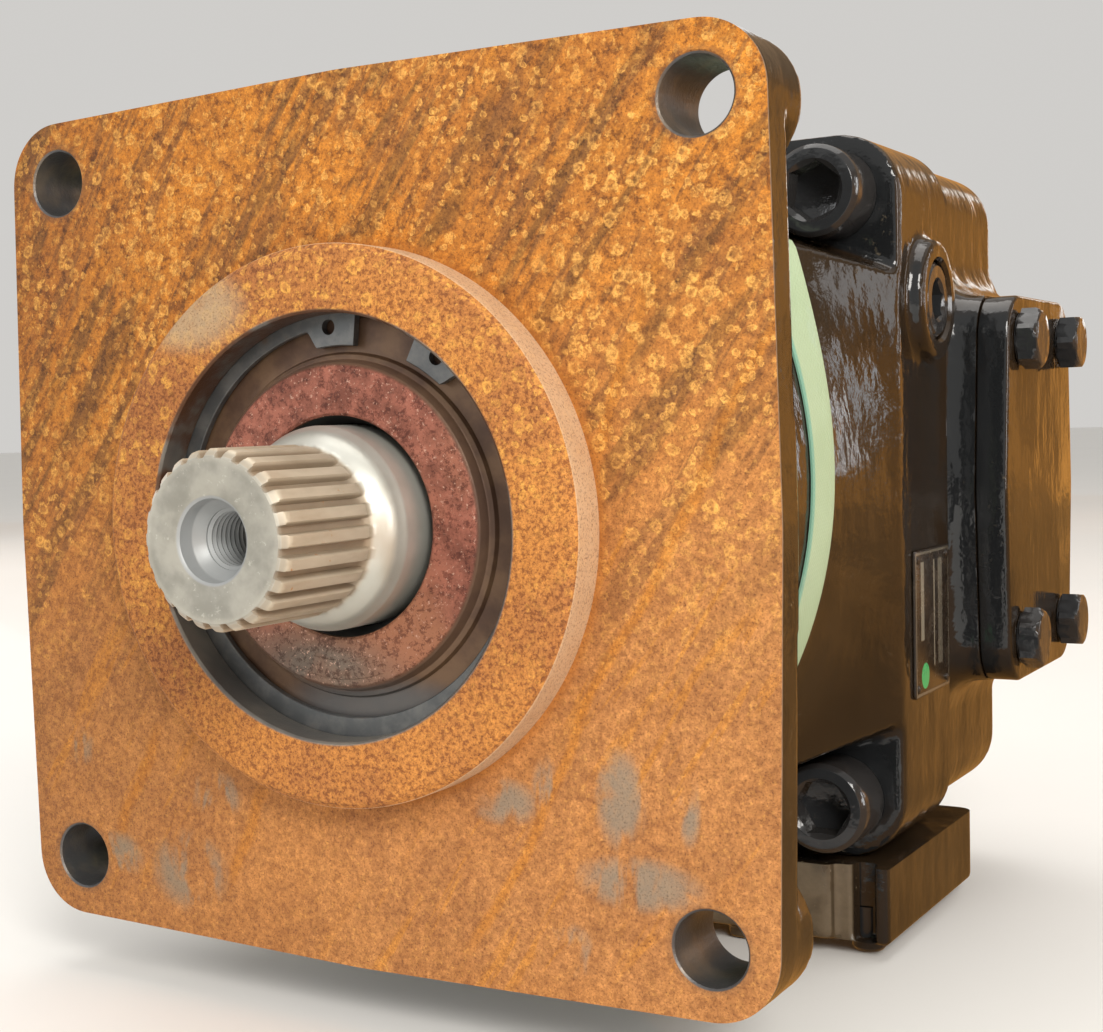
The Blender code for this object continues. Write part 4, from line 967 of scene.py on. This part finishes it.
def square_radius(theta):
    c, s = abs(math.cos(theta)), abs(math.sin(theta))
    t = HALF_X / c if c > 1e-9 else 1e9
    if t * s <= HALF_Z - CORNER_R:
        return t
    t = HALF_Z / s if s > 1e-9 else 1e9
    if t * c <= HALF_X - CORNER_R:
        return t
    cx, cz = HALF_X - CORNER_R, HALF_Z - CORNER_R
    b = cx * c + cz * s
    return b + math.sqrt(max(0.0, b * b - (cx * cx + cz * cz) + CORNER_R ** 2))


def neck_radius(theta, y):
    t = min(1.0, max(0.0, (y - FLARE_0) / (EAR_FACE - FLARE_0)))
    return NECK_R + (square_radius(theta) - NECK_R) * t ** 2.2


def neck_section(y):
    out = []
    for x, z in SQUARE:
        th = math.atan2(z, x)
        r = neck_radius(th, y)
        out.append((r * math.cos(th), r * math.sin(th)))
    return out


VOX = 1.45
outline = []
for sx in (-1, 1):
    for sz in (-1, 1):
        outline += disc((sx * HOLE_HALF, sz * HOLE_HALF), FLANGE_CORNER_R, 96)
outline += disc((0, 0), FLANGE_BULGE_R, 180)
outline = resample(hull2d(outline), 6.0)
parts = [slab("flange", outline, -5.0, FLANGE_T, "xz", 0, 0.6)]
for sx in (-1, 1):
    for sz in (-1, 1):
        pad = hull2d(disc((sx * HOLE_HALF, sz * HOLE_HALF), FLANGE_CORNER_R - 0.1, 48)
                     + disc((sx * 84, sz * 84), 30.0, 48))
        parts.append(slab("pad", pad, 5.0, PAD_T + 0.4, "xz", 0, 1.0))
neck = loft("neck", [(y, neck_section(y)) for y in (5, 30, 45, 52, 59, 66, 73, 80, 86, 92, 98, 104, 110, 116, 122, 128, 134, 140)]
            + [(EAR_FACE, SQUARE), (HOUSING_END + 5, SQUARE)])
pockets = []
for sx in (-1, 1):
    for sz in (-1, 1):
        pts = disc((SCREW_X, SCREW_Z), 16.6, 64)
        pts += [(135, 67.5), (170, 67.5), (170, 170), (67.5, 170), (67.5, 136)]
        pockets.append(slab("pocket", [(sx * a, sz * b) for a, b in hull2d(pts)], 40.0, EAR_FACE))
neck = boolean(neck, merged("pockets", *pockets))
parts.append(neck)
parts.append(lathe("boss", [(106, 0), (106, 20.3), (125.7, 20.3), (125.7, 0)], 64, (0, 173, 66), (1, 0, 0), False))
housing = cast(merged("cast_housing", *parts), VOX, 5)
housing = cut_flat(housing, (0, 0, 0), (0, -1, 0))
housing = cut_flat(housing, (0, HOUSING_END, 0), (0, 1, 0))
cutters = [lathe("cavity", [(-20, 0), (-20, 74.5), (10, 74.5), (10, 55.3), (45, 55.3), (45, 94), (HOUSING_END + 3, 94), (HOUSING_END + 3, 0)], 96, closed=False)]
for sx in (-1, 1):
    for sz in (-1, 1):
        cutters.append(lathe("hole", [(-5, 0), (-5, 16.4), (0.9, HOLE_R), (40, HOLE_R), (40, 0)], 64, (sx * HOLE_HALF, 0, sz * HOLE_HALF), closed=False))
cutters.append(lathe("boss_hole", rounded([(117, 0), (117, 13.3), (124.6, 13.3), (130, 18.7), (130, 0)], 0), 64, (0, 173, 66), (1, 0, 0), False))
housing = boolean(housing, merged("cutters", *cutters))
ring = lathe("pilot", rounded([(-13.3, BORE_R), (-PILOT_H, BORE_R + 0.7), (-PILOT_H, PILOT_R - 2.0), (-PILOT_H + 2.0, PILOT_R),
                               (0.7, PILOT_R), (0.7, 74.6), (9.9, 74.6), (14.2, 74.6), (14.2, BORE_R), (0.2, BORE_R), (0.2, BORE_R + 3), (-3, BORE_R + 3), (-3, BORE_R)],
                              [0.3, 0.3, 0.8, 0.8, 0, 0, 0, 0, 0.2, 0.2, 0, 0, 0.2], 3), 160)
tree = BVHTree.FromObject(housing, bpy.context.evaluated_depsgraph_get())
housing = merged("housing_with_pilot", housing, ring)
piece(housing, "main_housing_visual", M_HOUSING, "main_housing", sharp=42)


# ================================================================ rear port block
def cover_outline(lobe, mid, n=64):
    pts = disc((PORT_Y, 0), mid, 140)
    for a in (-1, 1):
        for b in (-1, 1):
            pts += disc((PORT_Y + a * PORT_DY, b * PORT_DZ), lobe, n)
    return hull2d(pts)


def block_section(d, r):
    return rounded_rect(BLOCK_HALF_X - d, BLOCK_HALF_Z - d, max(3.0, r), 12, 14)


parts = [loft("block", [(HOUSING_END - 5, block_section(0, BLOCK_CORNER_R)), (REAR_END - 15, block_section(0, BLOCK_CORNER_R)),
                        (REAR_END - 10, block_section(1.2, BLOCK_CORNER_R)), (REAR_END - 5, block_section(4, 17)),
                        (REAR_END - 1.6, block_section(8.5, 14)), (REAR_END, block_section(13, 12))])]
for s in (-1, 1):
    steps = [(s * 98, 13.0), (s * 112.5, 12.0), (s * 113.8, 8.2), (s * 115.6, 5.2), (s * 118.2, 2.8), (s * 121.5, 1.1), (s * 125, 0.3), (s * 131, 0.0)]
    base = ccw(resample(cover_outline(COVER_LOBE_R + 0.5, COVER_MID_R), 8.0))
    secs = [(c, [(min(a, REAR_END - 4), b) for a, b in inset(base, -d)]) for c, d in steps]
    parts.append(loft("pad", [(c, [(max(a, HOUSING_END - 4), b) for a, b in pts]) for c, pts in secs], "yz"))
block = cast(merged("cast_block", *parts), VOX, 4)
block = cut_flat(block, (0, HOUSING_END + 0.3, 0), (0, -1, 0))
block = cut_flat(block, (PAD_FACE, 0, 0), (1, 0, 0))
block = cut_flat(block, (-PAD_FACE, 0, 0), (-1, 0, 0))
block = boolean(block, lathe("pocket", [(190, 0), (190, 40.5), (224.3, 40.5), (224.3, 24), (232, 24), (232, 0)], 72, closed=False))
piece(block, "port_block_visual", M_PAINT, "port_block", sharp=42)

# ================================================================ port covers, their bolts
SHAPES = {}
for s, side in ((1, "right"), (-1, "left")):
    ol = resample(cover_outline(COVER_LOBE_R, COVER_MID_R - 0.5), 7.0)
    cover = slab("cover", ol, s * (PAD_FACE + 0.3), s * COVER_OUT, "yz", 0.6, 1.5, 4)
    piece(cover, "port_cover_%s_visual" % side, M_COVER, "port_cover_" + side, sharp=50)

R_HEX = 19.0 / math.sqrt(3)


def hex_head():
    """a hex head with chamfered corners and a washer face, standing on z = 0, shank below"""
    verts, faces, idx = [], [], []
    n = 96
    rows = [(0.35, 9.3, 0), (0.55, 9.3, 0), (0.75, 9.5, 1), (1.25, 12.0, 1), (5.4, 12.0, 1), (6.1, 11.4, 1), (6.9, 10.5, 1), (7.6, 9.65, 1), (8.0, 9.0, 1), (8.0, 6.0, 0), (7.9, 0.0, 0)]
    for h, cap, hexed in rows:
        row = []
        if cap == 0.0:
            verts.append((0, 0, h))
            row = [len(verts) - 1] * n
        else:
            for i in range(n):
                t = 2 * math.pi * i / n
                f = ((t + math.pi / 6) % (math.pi / 3)) - math.pi / 6
                rh = 9.5 / math.cos(f)
                r = min(cap, rh) if hexed else cap
                verts.append((r * math.cos(t), r * math.sin(t), h))
                row.append(len(verts) - 1)
        idx.append(row)
    for r0, r1 in zip(idx, idx[1:]):
        for i in range(n):
            j = (i + 1) % n
            f = []
            for k in (r0[i], r0[j], r1[j], r1[i]):
                if k not in f:
                    f.append(k)
            faces.append(f)
    faces.append(idx[0][::-1])
    return verts, faces


HV, HF = hex_head()
turns = {1: 0.21, 2: 0.55, 3: 0.08, 4: 0.40}
for s, side in ((1, "right"), (-1, "left")):
    k = 0
    for a, b in ((-1, 1), (1, 1), (-1, -1), (1, -1)):
        k += 1
        c = Vector((0, PORT_Y + a * PORT_DY, b * PORT_DZ))
        ax, u, v = axes_for((s, 0, 0))
        w = turns[k] + (0.3 if s < 0 else 0.0)
        cu, cv = u * math.cos(w) + v * math.sin(w), v * math.cos(w) - u * math.sin(w)
        verts = [tuple(c + ax * (COVER_OUT + p[2]) + cu * p[0] + cv * p[1]) for p in HV]
        head = make("bolt", verts, HF)
        shank = lathe("shank", rounded([(105, 0), (105, 5.2), (106.2, 6.0), (COVER_OUT + 1.0, 6.0), (COVER_OUT + 1.0, 0)], 0), 32, tuple(c), (s, 0, 0), False)
        bolt = merged("bolt", head, shank)
        piece(bolt, "cover_bolt_%s_%d_visual" % (side, k), M_SCREW, "cover_bolt_%s_%d" % (side, k), sharp=32)

# ================================================================ socket-head screws
n = 0
for sx, sz in ((1, 1), (-1, 1), (1, -1), (-1, -1)):
    n += 1
    h0 = EAR_FACE - 0.3 - 19.7
    c = (sx * SCREW_X, 0, sz * SCREW_Z)
    prof = rounded([(h0 + 10.5, 0), (h0, 0), (h0, 13.4), (h0 + 1.6, 15.0), (EAR_FACE - 0.3, 15.0), (EAR_FACE - 0.3, 10.0), (250, 10.0), (250, 0)],
                   [0, 0, 0.5, 0.8, 0.25, 0, 0, 0], 4, False)[1:]
    sc = lathe("screw", prof, 96, c, closed=False)
    r_hex = 17.0 / math.sqrt(3)
    hexo = [(c[0] + r_hex * math.cos(math.pi / 3 * i + 0.35 * n), c[2] + r_hex * math.sin(math.pi / 3 * i + 0.35 * n)) for i in range(6)]
    sock = slab("sock", resample(hexo, 3.0), h0 - 3, h0 + 10)
    cone = lathe("cone", [(h0 - 1.0, 0), (h0 - 1.0, r_hex + 1.5), (h0 + 0.1, r_hex + 0.3), (h0 + 1.5, r_hex - 1.2), (h0 + 1.5, 0)], 96, c, closed=False)
    drill = lathe("drill", [(h0 + 5, 0), (h0 + 5, 8.2), (h0 + 10, 8.2), (h0 + 13.0, 0)], 48, c, closed=False)
    sc = boolean(sc, sock)
    sc = boolean(sc, cone)
    sc = boolean(sc, drill)
    piece(sc, "housing_screw_%d_visual" % n, M_SCREW, "housing_screw_%d" % n, sharp=35)

# ================================================================ side plug in its boss
prof = rounded([(112.4, 0), (112.4, 12.9), (123.6, 12.9), (125.1, 11.4), (125.1, 0)], [0, 0, 0.3, 0.3, 0], 3, False)
plug = lathe("plug", prof, 72, (0, 173, 66), (1, 0, 0), False)
rp = 12.5 / math.sqrt(3)
hexo = [(173 + rp * math.cos(math.pi / 3 * i + 0.3), 66 + rp * math.sin(math.pi / 3 * i + 0.3)) for i in range(6)]
plug = boolean(plug, slab("sock", resample(hexo, 3.0), 118.0, 130.0, "yz"))
plug = boolean(plug, lathe("cone", [(124.2, 0), (124.2, rp - 0.6), (126.0, rp + 1.2), (126.0, 0)], 64, (0, 173, 66), (1, 0, 0), False))
piece(plug, "side_plug_visual", M_SCREW, "side_plug", sharp=35)

# ================================================================ lower block
top = -HALF_Z - 0.3
parts = [slab("low", resample(rounded([(-117.5, 136.0), (-112.6, 136.0), (-112.6, 143), (-105, 143), (-105, 137.5), (105, 137.5), (105, 143), (112.6, 143), (112.6, 136.0), (117.5, 136.0),
                                     (117.5, 240), (-117.5, 240)], [1.6, 0.8, 0, 0, 1.0, 0, 0, 1.0, 0, 0, 0.8, 1.6][:2] + [0.6] * 8 + [5.5, 5.5], 4), 12.0), -147.0, top + 4, "xy", 1.2, 0)]
parts.append(slab("lip", resample(rounded([(-99, 133.8), (99, 133.8), (99, 150), (-99, 150)], 2.5, 4), 12.0), -146.8, top + 4, "xy", 1.0, 0))
for s in (-1, 1):
    x0, x1 = sorted((s * 60, s * 84))
    parts.append(slab("rail", rounded([(x0, 138), (x1, 138), (x1, 238), (x0, 238)], 3.0, 4), -151.95, -143, "xy", 1.0, 0))
lower = cast(merged("low", *parts), 1.25, 2)
lower = cut_flat(lower, (0, 0, top), (0, 0, 1))
lower = cut_flat(lower, (0, 0, -151.95), (0, 0, -1))
lower = boolean(lower, lathe("plug_hole", [(-153, 0), (-153, 5.9), (-136, 5.9), (-136, 0)], 48, (107, 148, 0), (0, 0, 1), False))
piece(lower, "lower_block_visual", M_LOW, "lower_block", sharp=42)
prof = rounded([(-136.5, 0), (-136.5, 5.5), (-150.6, 5.5), (-151.7, 4.6), (-151.7, 0)], [0, 0, 0.3, 0.3, 0], 3, False)
piece(lathe("bp", prof, 48, (107, 148, 0), (0, 0, 1), False), "bottom_plug_visual", M_SCREW, "bottom_plug")

# ================================================================ nameplate with its rivets
ol = rounded([(157, -68), (197, -68), (197, -18), (157, -18)], 1.6, 5)
parts = [slab("plate", resample(ol, 6), HALF_X + 0.3, HALF_X + 1.05, "yz", 0, 0.25, 2)]
for a in (160.2, 193.8):
    for b in (-64.8, -21.2):
        parts.append(lathe("rivet", [(HALF_X + 0.6, 0), (HALF_X + 0.6, 1.5), (HALF_X + 1.3, 1.35), (HALF_X + 1.7, 0.8), (HALF_X + 1.8, 0)], 20, (0, a, b), (1, 0, 0), False))
piece(merged("plate", *parts), "nameplate_visual", M_PLATE, "nameplate")

# ================================================================ strap round the neck, laid on the casting
STRAP_HALF = 8.2
A, B = 320, 12
rings = []
for i in range(A):
    th = 2 * math.pi * i / A
    row = []
    for k in range(B + 1):
        yy = 88.0 + 20.0 * math.sin(th) - STRAP_HALF + 2 * STRAP_HALF * k / B
        o = Vector(to_row((200 * math.cos(th), yy, 200 * math.sin(th))))
        d = Vector((-math.cos(th), 0, -math.sin(th)))
        hit = tree.ray_cast(o, d, 0.2)
        r = 200.0 - hit[3] / MM if hit[0] is not None else neck_radius(th, yy)
        row.append(r)
    rings.append(row)
R = np.array(rings)
for _ in range(6):
    S2 = 0.5 * R + 0.25 * (np.roll(R, 1, 0) + np.roll(R, -1, 0))
    R = np.maximum(R, S2)
verts, faces = [], []
cols = 2 * (B + 1)
for i in range(A):
    th = 2 * math.pi * i / A
    lap = 0.35 if 4.35 < th < 4.75 else 0.0
    for layer in (0, 1):
        for k in range(B + 1):
            t = k / B
            edge = 0.28 * (1 - min(1.0, min(t, 1 - t) * B / 1.5)) if layer else 0.0
            yy = 88.0 + 20.0 * math.sin(th) - STRAP_HALF + 2 * STRAP_HALF * t
            rr = R[i, k] + (0.25 if layer == 0 else 1.15 + lap - edge)
            verts.append((rr * math.cos(th), yy, rr * math.sin(th)))
for i in range(A):
    j = (i + 1) % A
    a0, b0 = i * cols, j * cols
    for k in range(B):
        faces.append((a0 + k, a0 + k + 1, b0 + k + 1, b0 + k))
        faces.append((a0 + B + 1 + k, b0 + B + 1 + k, b0 + B + 2 + k, a0 + B + 2 + k))
    faces.append((a0, b0, b0 + B + 1, a0 + B + 1))
    faces.append((a0 + B, a0 + 2 * B + 1, b0 + 2 * B + 1, b0 + B))
piece(make("strap", verts, faces), "neck_strap_visual", M_STRAP, "neck_strap", sharp=50)

# ================================================================ seal carrier, seal, snap ring
prof = rounded([(-3.2, 32.8), (-5.3, 32.8), (-6.0, 33.6), (-6.0, 47.0), (-5.0, 48.3), (-1.6, 49.2), (-1.2, 50.8), (0.4, 51.4), (0.6, 61.5), (1.4, 62.3),
                (7.0, 62.3), (7.0, 59.2), (10.4, 59.2), (10.4, 62.3), (14.0, 62.3), (14.0, 42.0), (-3.2, 42.0)],
               [0.3, 0.3, 0.3, 0.8, 0.8, 0.5, 0.4, 0.3, 0.4, 0.4, 0, 0, 0, 0, 0.2, 0, 0], 3)
carrier = lathe("carrier", prof, 144)
# a worn raised pad at the foot of the ring, blank
pad = []
for i in range(17):
    t = math.radians(-104 + 34 * i / 16)
    pad.append((45.2 * math.cos(t), 45.2 * math.sin(t)))
for i in range(17):
    t = math.radians(-70 - 34 * i / 16)
    pad.append((39.6 * math.cos(t), 39.6 * math.sin(t)))
pad = slab("mark", pad, -6.35, -5.0, "xz", 0.3, 0.0, 2)
piece(merged("carrier", carrier, pad), "seal_carrier_visual", M_CARRIER, "seal_carrier", sharp=45)

prof = rounded([(-2.9, 33.0), (-2.9, 41.6), (7.0, 41.6), (7.0, 40.0), (0.5, 39.0), (0.5, 34.0), (4.0, 32.5), (4.0, 30.5), (2.6, 30.4)],
               [0.5, 0.4, 0.4, 0.3, 0.3, 0.3, 0.2, 0.1, 0.1], 3)
piece(lathe("seal", prof, 96), "shaft_seal_visual", M_RUBBER, "shaft_seal", sharp=50)

A1, A2 = math.radians(84.0), math.radians(63.5)          # the two ends of the ring
LUG = math.radians(17.0)


def ring_in(t):
    """inner radius of the ring at angle t past its first end, over the whole span"""
    span = 2 * math.pi - (A1 - A2)
    mid = span / 2
    base = 58.9 - 1.9 * (0.5 + 0.5 * math.cos((t - mid) / span * 2 * math.pi))
    d = min(t, span - t)
    k = min(1.0, max(0.0, (LUG - d) / math.radians(3.2)))
    k = k * k * (3 - 2 * k)
    return base - 5.6 * k


span = 2 * math.pi - (A1 - A2)
outer_pts, inner_pts = [], []
stations = sorted(set([span * i / 260 for i in range(261)] + [math.radians(a) for a in np.arange(0, 19, 0.5)] + [span - math.radians(a) for a in np.arange(0, 19, 0.5)]))
for t in stations:
    a = A1 + t
    outer_pts.append((65.2 * math.cos(a), 65.2 * math.sin(a)))
    r = ring_in(t)
    inner_pts.append((r * math.cos(a), r * math.sin(a)))
verts, faces = [], []
m = len(stations)
sections = [(-2.7, 0.25), (-2.45, 0.0), (-0.35, 0.0), (-0.1, 0.25)]
for i in range(m):
    o, q = Vector(outer_pts[i]), Vector(inner_pts[i])
    e = (o - q).normalized()
    for y, d in sections:
        p = o - e * d
        verts.append((p.x, y, p.y))
    for y, d in reversed(sections):
        p = q + e * d
        verts.append((p.x, y, p.y))
for i in range(m - 1):
    for k in range(8):
        k2 = (k + 1) % 8
        faces.append((i * 8 + k, i * 8 + k2, (i + 1) * 8 + k2, (i + 1) * 8 + k))
faces.append(tuple(range(8)))
faces.append(tuple((m - 1) * 8 + k for k in range(8)))
ring = make("ring", verts, faces)
for a in (93.0, 55.0):
    c = (59.0 * math.cos(math.radians(a)), 0, 59.0 * math.sin(math.radians(a)))
    ring = boolean(ring, lathe("eye", [(-5, 0), (-5, 2.3), (3, 2.3), (3, 0)], 32, c, closed=False))
piece(ring, "snap_ring_visual", M_RING, "snap_ring", sharp=40)

# ================================================================ drive shaft
N_A = TEETH * 16
stations = [SHAFT_TIP + 0.0, SHAFT_TIP + 0.35, SHAFT_TIP + 1.2, SHAFT_TIP + 2.0, SHAFT_TIP + 2.8, SHAFT_TIP + 4.0] + list(np.linspace(SHAFT_TIP + 7, -27.0, 12)) + \
    [-25.6, -24.6, -23.8, -23.0, -22.2, -21.4, -20.4, -19.2, -18.0, -16.8, -15.6, -14.6, -14.0, -13.4, -6.0, 0.0, 20.0, 38.6]


def tooth(phase):
    """radius of the spline at a phase of -0.5 to 0.5 of the pitch, 0 on a tooth's middle"""
    p = abs(phase)
    top, foot = 0.262, 0.345
    if p < top:
        return 24.8 - 0.10 * (p / top) ** 6
    if p > foot:
        return 22.35 + 0.0 * p
    k = (p - top) / (foot - top)
    return 24.7 - (24.7 - 22.35) * (k ** 0.92)


def collar(y):
    """the plain round under and behind the teeth"""
    pts = [(-100, 22.35), (-26.5, 22.35), (-24.8, 22.9), (-23.0, 24.4), (-21.2, 26.1), (-19.6, 27.5), (-18.2, 28.4), (-16.6, 29.0), (-15.4, 29.3), (-14.5, 29.75), (-13.8, 30.0), (60, 30.0)]
    for (a, ra), (b, rb) in zip(pts, pts[1:]):
        if y <= b:
            return ra + (rb - ra) * (y - a) / (b - a)
    return 30.0


verts, faces = [], []
for y in stations:
    cap = 22.35 + (y - SHAFT_TIP) if y < SHAFT_TIP + 2.6 else 99.0
    cap = 22.3 if y == stations[0] else cap
    for i in range(N_A):
        t = 2 * math.pi * (i + 0.5) / N_A
        ph = ((i + 0.5) / 16.0 + 0.5) % 1.0 - 0.5
        r = min(tooth(ph), cap)
        fade = 1.0 if y < -27 else max(0.0, min(1.0, (-22.2 - y) / 4.0))
        base = collar(y)
        r = max(base, base + (r - base) * fade) if y > -27.5 else max(r, 22.3)
        verts.append((r * math.cos(t), y, r * math.sin(t)))
ns = len(stations)
for s in range(ns - 1):
    for i in range(N_A):
        j = (i + 1) % N_A
        faces.append((s * N_A + i, s * N_A + j, (s + 1) * N_A + j, (s + 1) * N_A + i))
# end face down into the counterbore and the threaded hole
hole = [(SHAFT_TIP, 20.5), (SHAFT_TIP, 12.6), (SHAFT_TIP + 0.25, 12.0), (SHAFT_TIP + 0.8, 11.43), (SHAFT_TIP + 5.4, 11.43), (SHAFT_TIP + 6.0, 11.1), (SHAFT_TIP + 8.0, 9.0), (SHAFT_TIP + 8.6, 8.5)]
yy = SHAFT_TIP + 8.8
while yy < SHAFT_TIP + 34:
    hole += [(yy, 8.55), (yy + 0.35, 8.5), (yy + 1.0, 7.55), (yy + 1.3, 7.55)]
    yy += 2.0
hole += [(SHAFT_TIP + 36, 7.4), (SHAFT_TIP + 40, 0.0)]
last = [i for i in range(N_A)]
for y, r in hole:
    row = []
    if r == 0.0:
        verts.append((0, y, 0))
        row = [len(verts) - 1] * N_A
    else:
        for i in range(N_A):
            t = 2 * math.pi * (i + 0.5) / N_A
            verts.append((r * math.cos(t), y, r * math.sin(t)))
            row.append(len(verts) - 1)
    for i in range(N_A):
        j = (i + 1) % N_A
        f = []
        for k in (last[i], last[j], row[j], row[i]):
            if k not in f:
                f.append(k)
        if len(f) > 2:
            faces.append(f)
    last = row
back = [(38.6, 25.0), (200, 25.0), (200, 20.0), (226.5, 20.0), (228, 18.5), (228, 0.0)]
last = [(ns - 1) * N_A + i for i in range(N_A)]
for y, r in back:
    row = []
    if r == 0.0:
        verts.append((0, y, 0))
        row = [len(verts) - 1] * N_A
    else:
        for i in range(N_A):
            t = 2 * math.pi * (i + 0.5) / N_A
            verts.append((r * math.cos(t), y, r * math.sin(t)))
            row.append(len(verts) - 1)
    for i in range(N_A):
        j = (i + 1) % N_A
        f = []
        for k in (last[i], last[j], row[j], row[i]):
            if k not in f:
                f.append(k)
        if len(f) > 2:
            faces.append(f)
    last = row
piece(make("shaft", verts, faces), "drive_shaft_visual", M_SHAFT, "drive_shaft", body="rotor", sharp=33)

# ================================================================ parts inside keep their CAD shape
LOOK = {"bearing": M_BEARING, "barrel": M_BARREL, "spring": M_SPRING, "bronze": M_BRONZE, "rubber": M_RUBBER}
for name, ob in NODES.items():
    if name in ("housing_o_ring", "carrier_o_ring") or name.startswith("port_o_ring"):
        m = M_RUBBER
    elif name in ("retaining_ball", "valve_plate") or name.startswith("slipper"):
        m = M_BRONZE
    elif name == "cylinder_barrel":
        m = M_BARREL
    elif name == "barrel_spring":
        m = M_SPRING
    elif "bearing" in name or name.startswith("piston") or name in ("swash_plate", "retaining_plate"):
        m = M_BEARING
    else:
        continue
    if ob.material_slots:
        for slot in ob.material_slots:
            slot.material = m
    else:
        ob.data.materials.append(m)

for o in list(WORK.objects):
    bpy.data.objects.remove(o, do_unlink=True)
bpy.data.collections.remove(WORK)
bpy.context.view_layer.update()
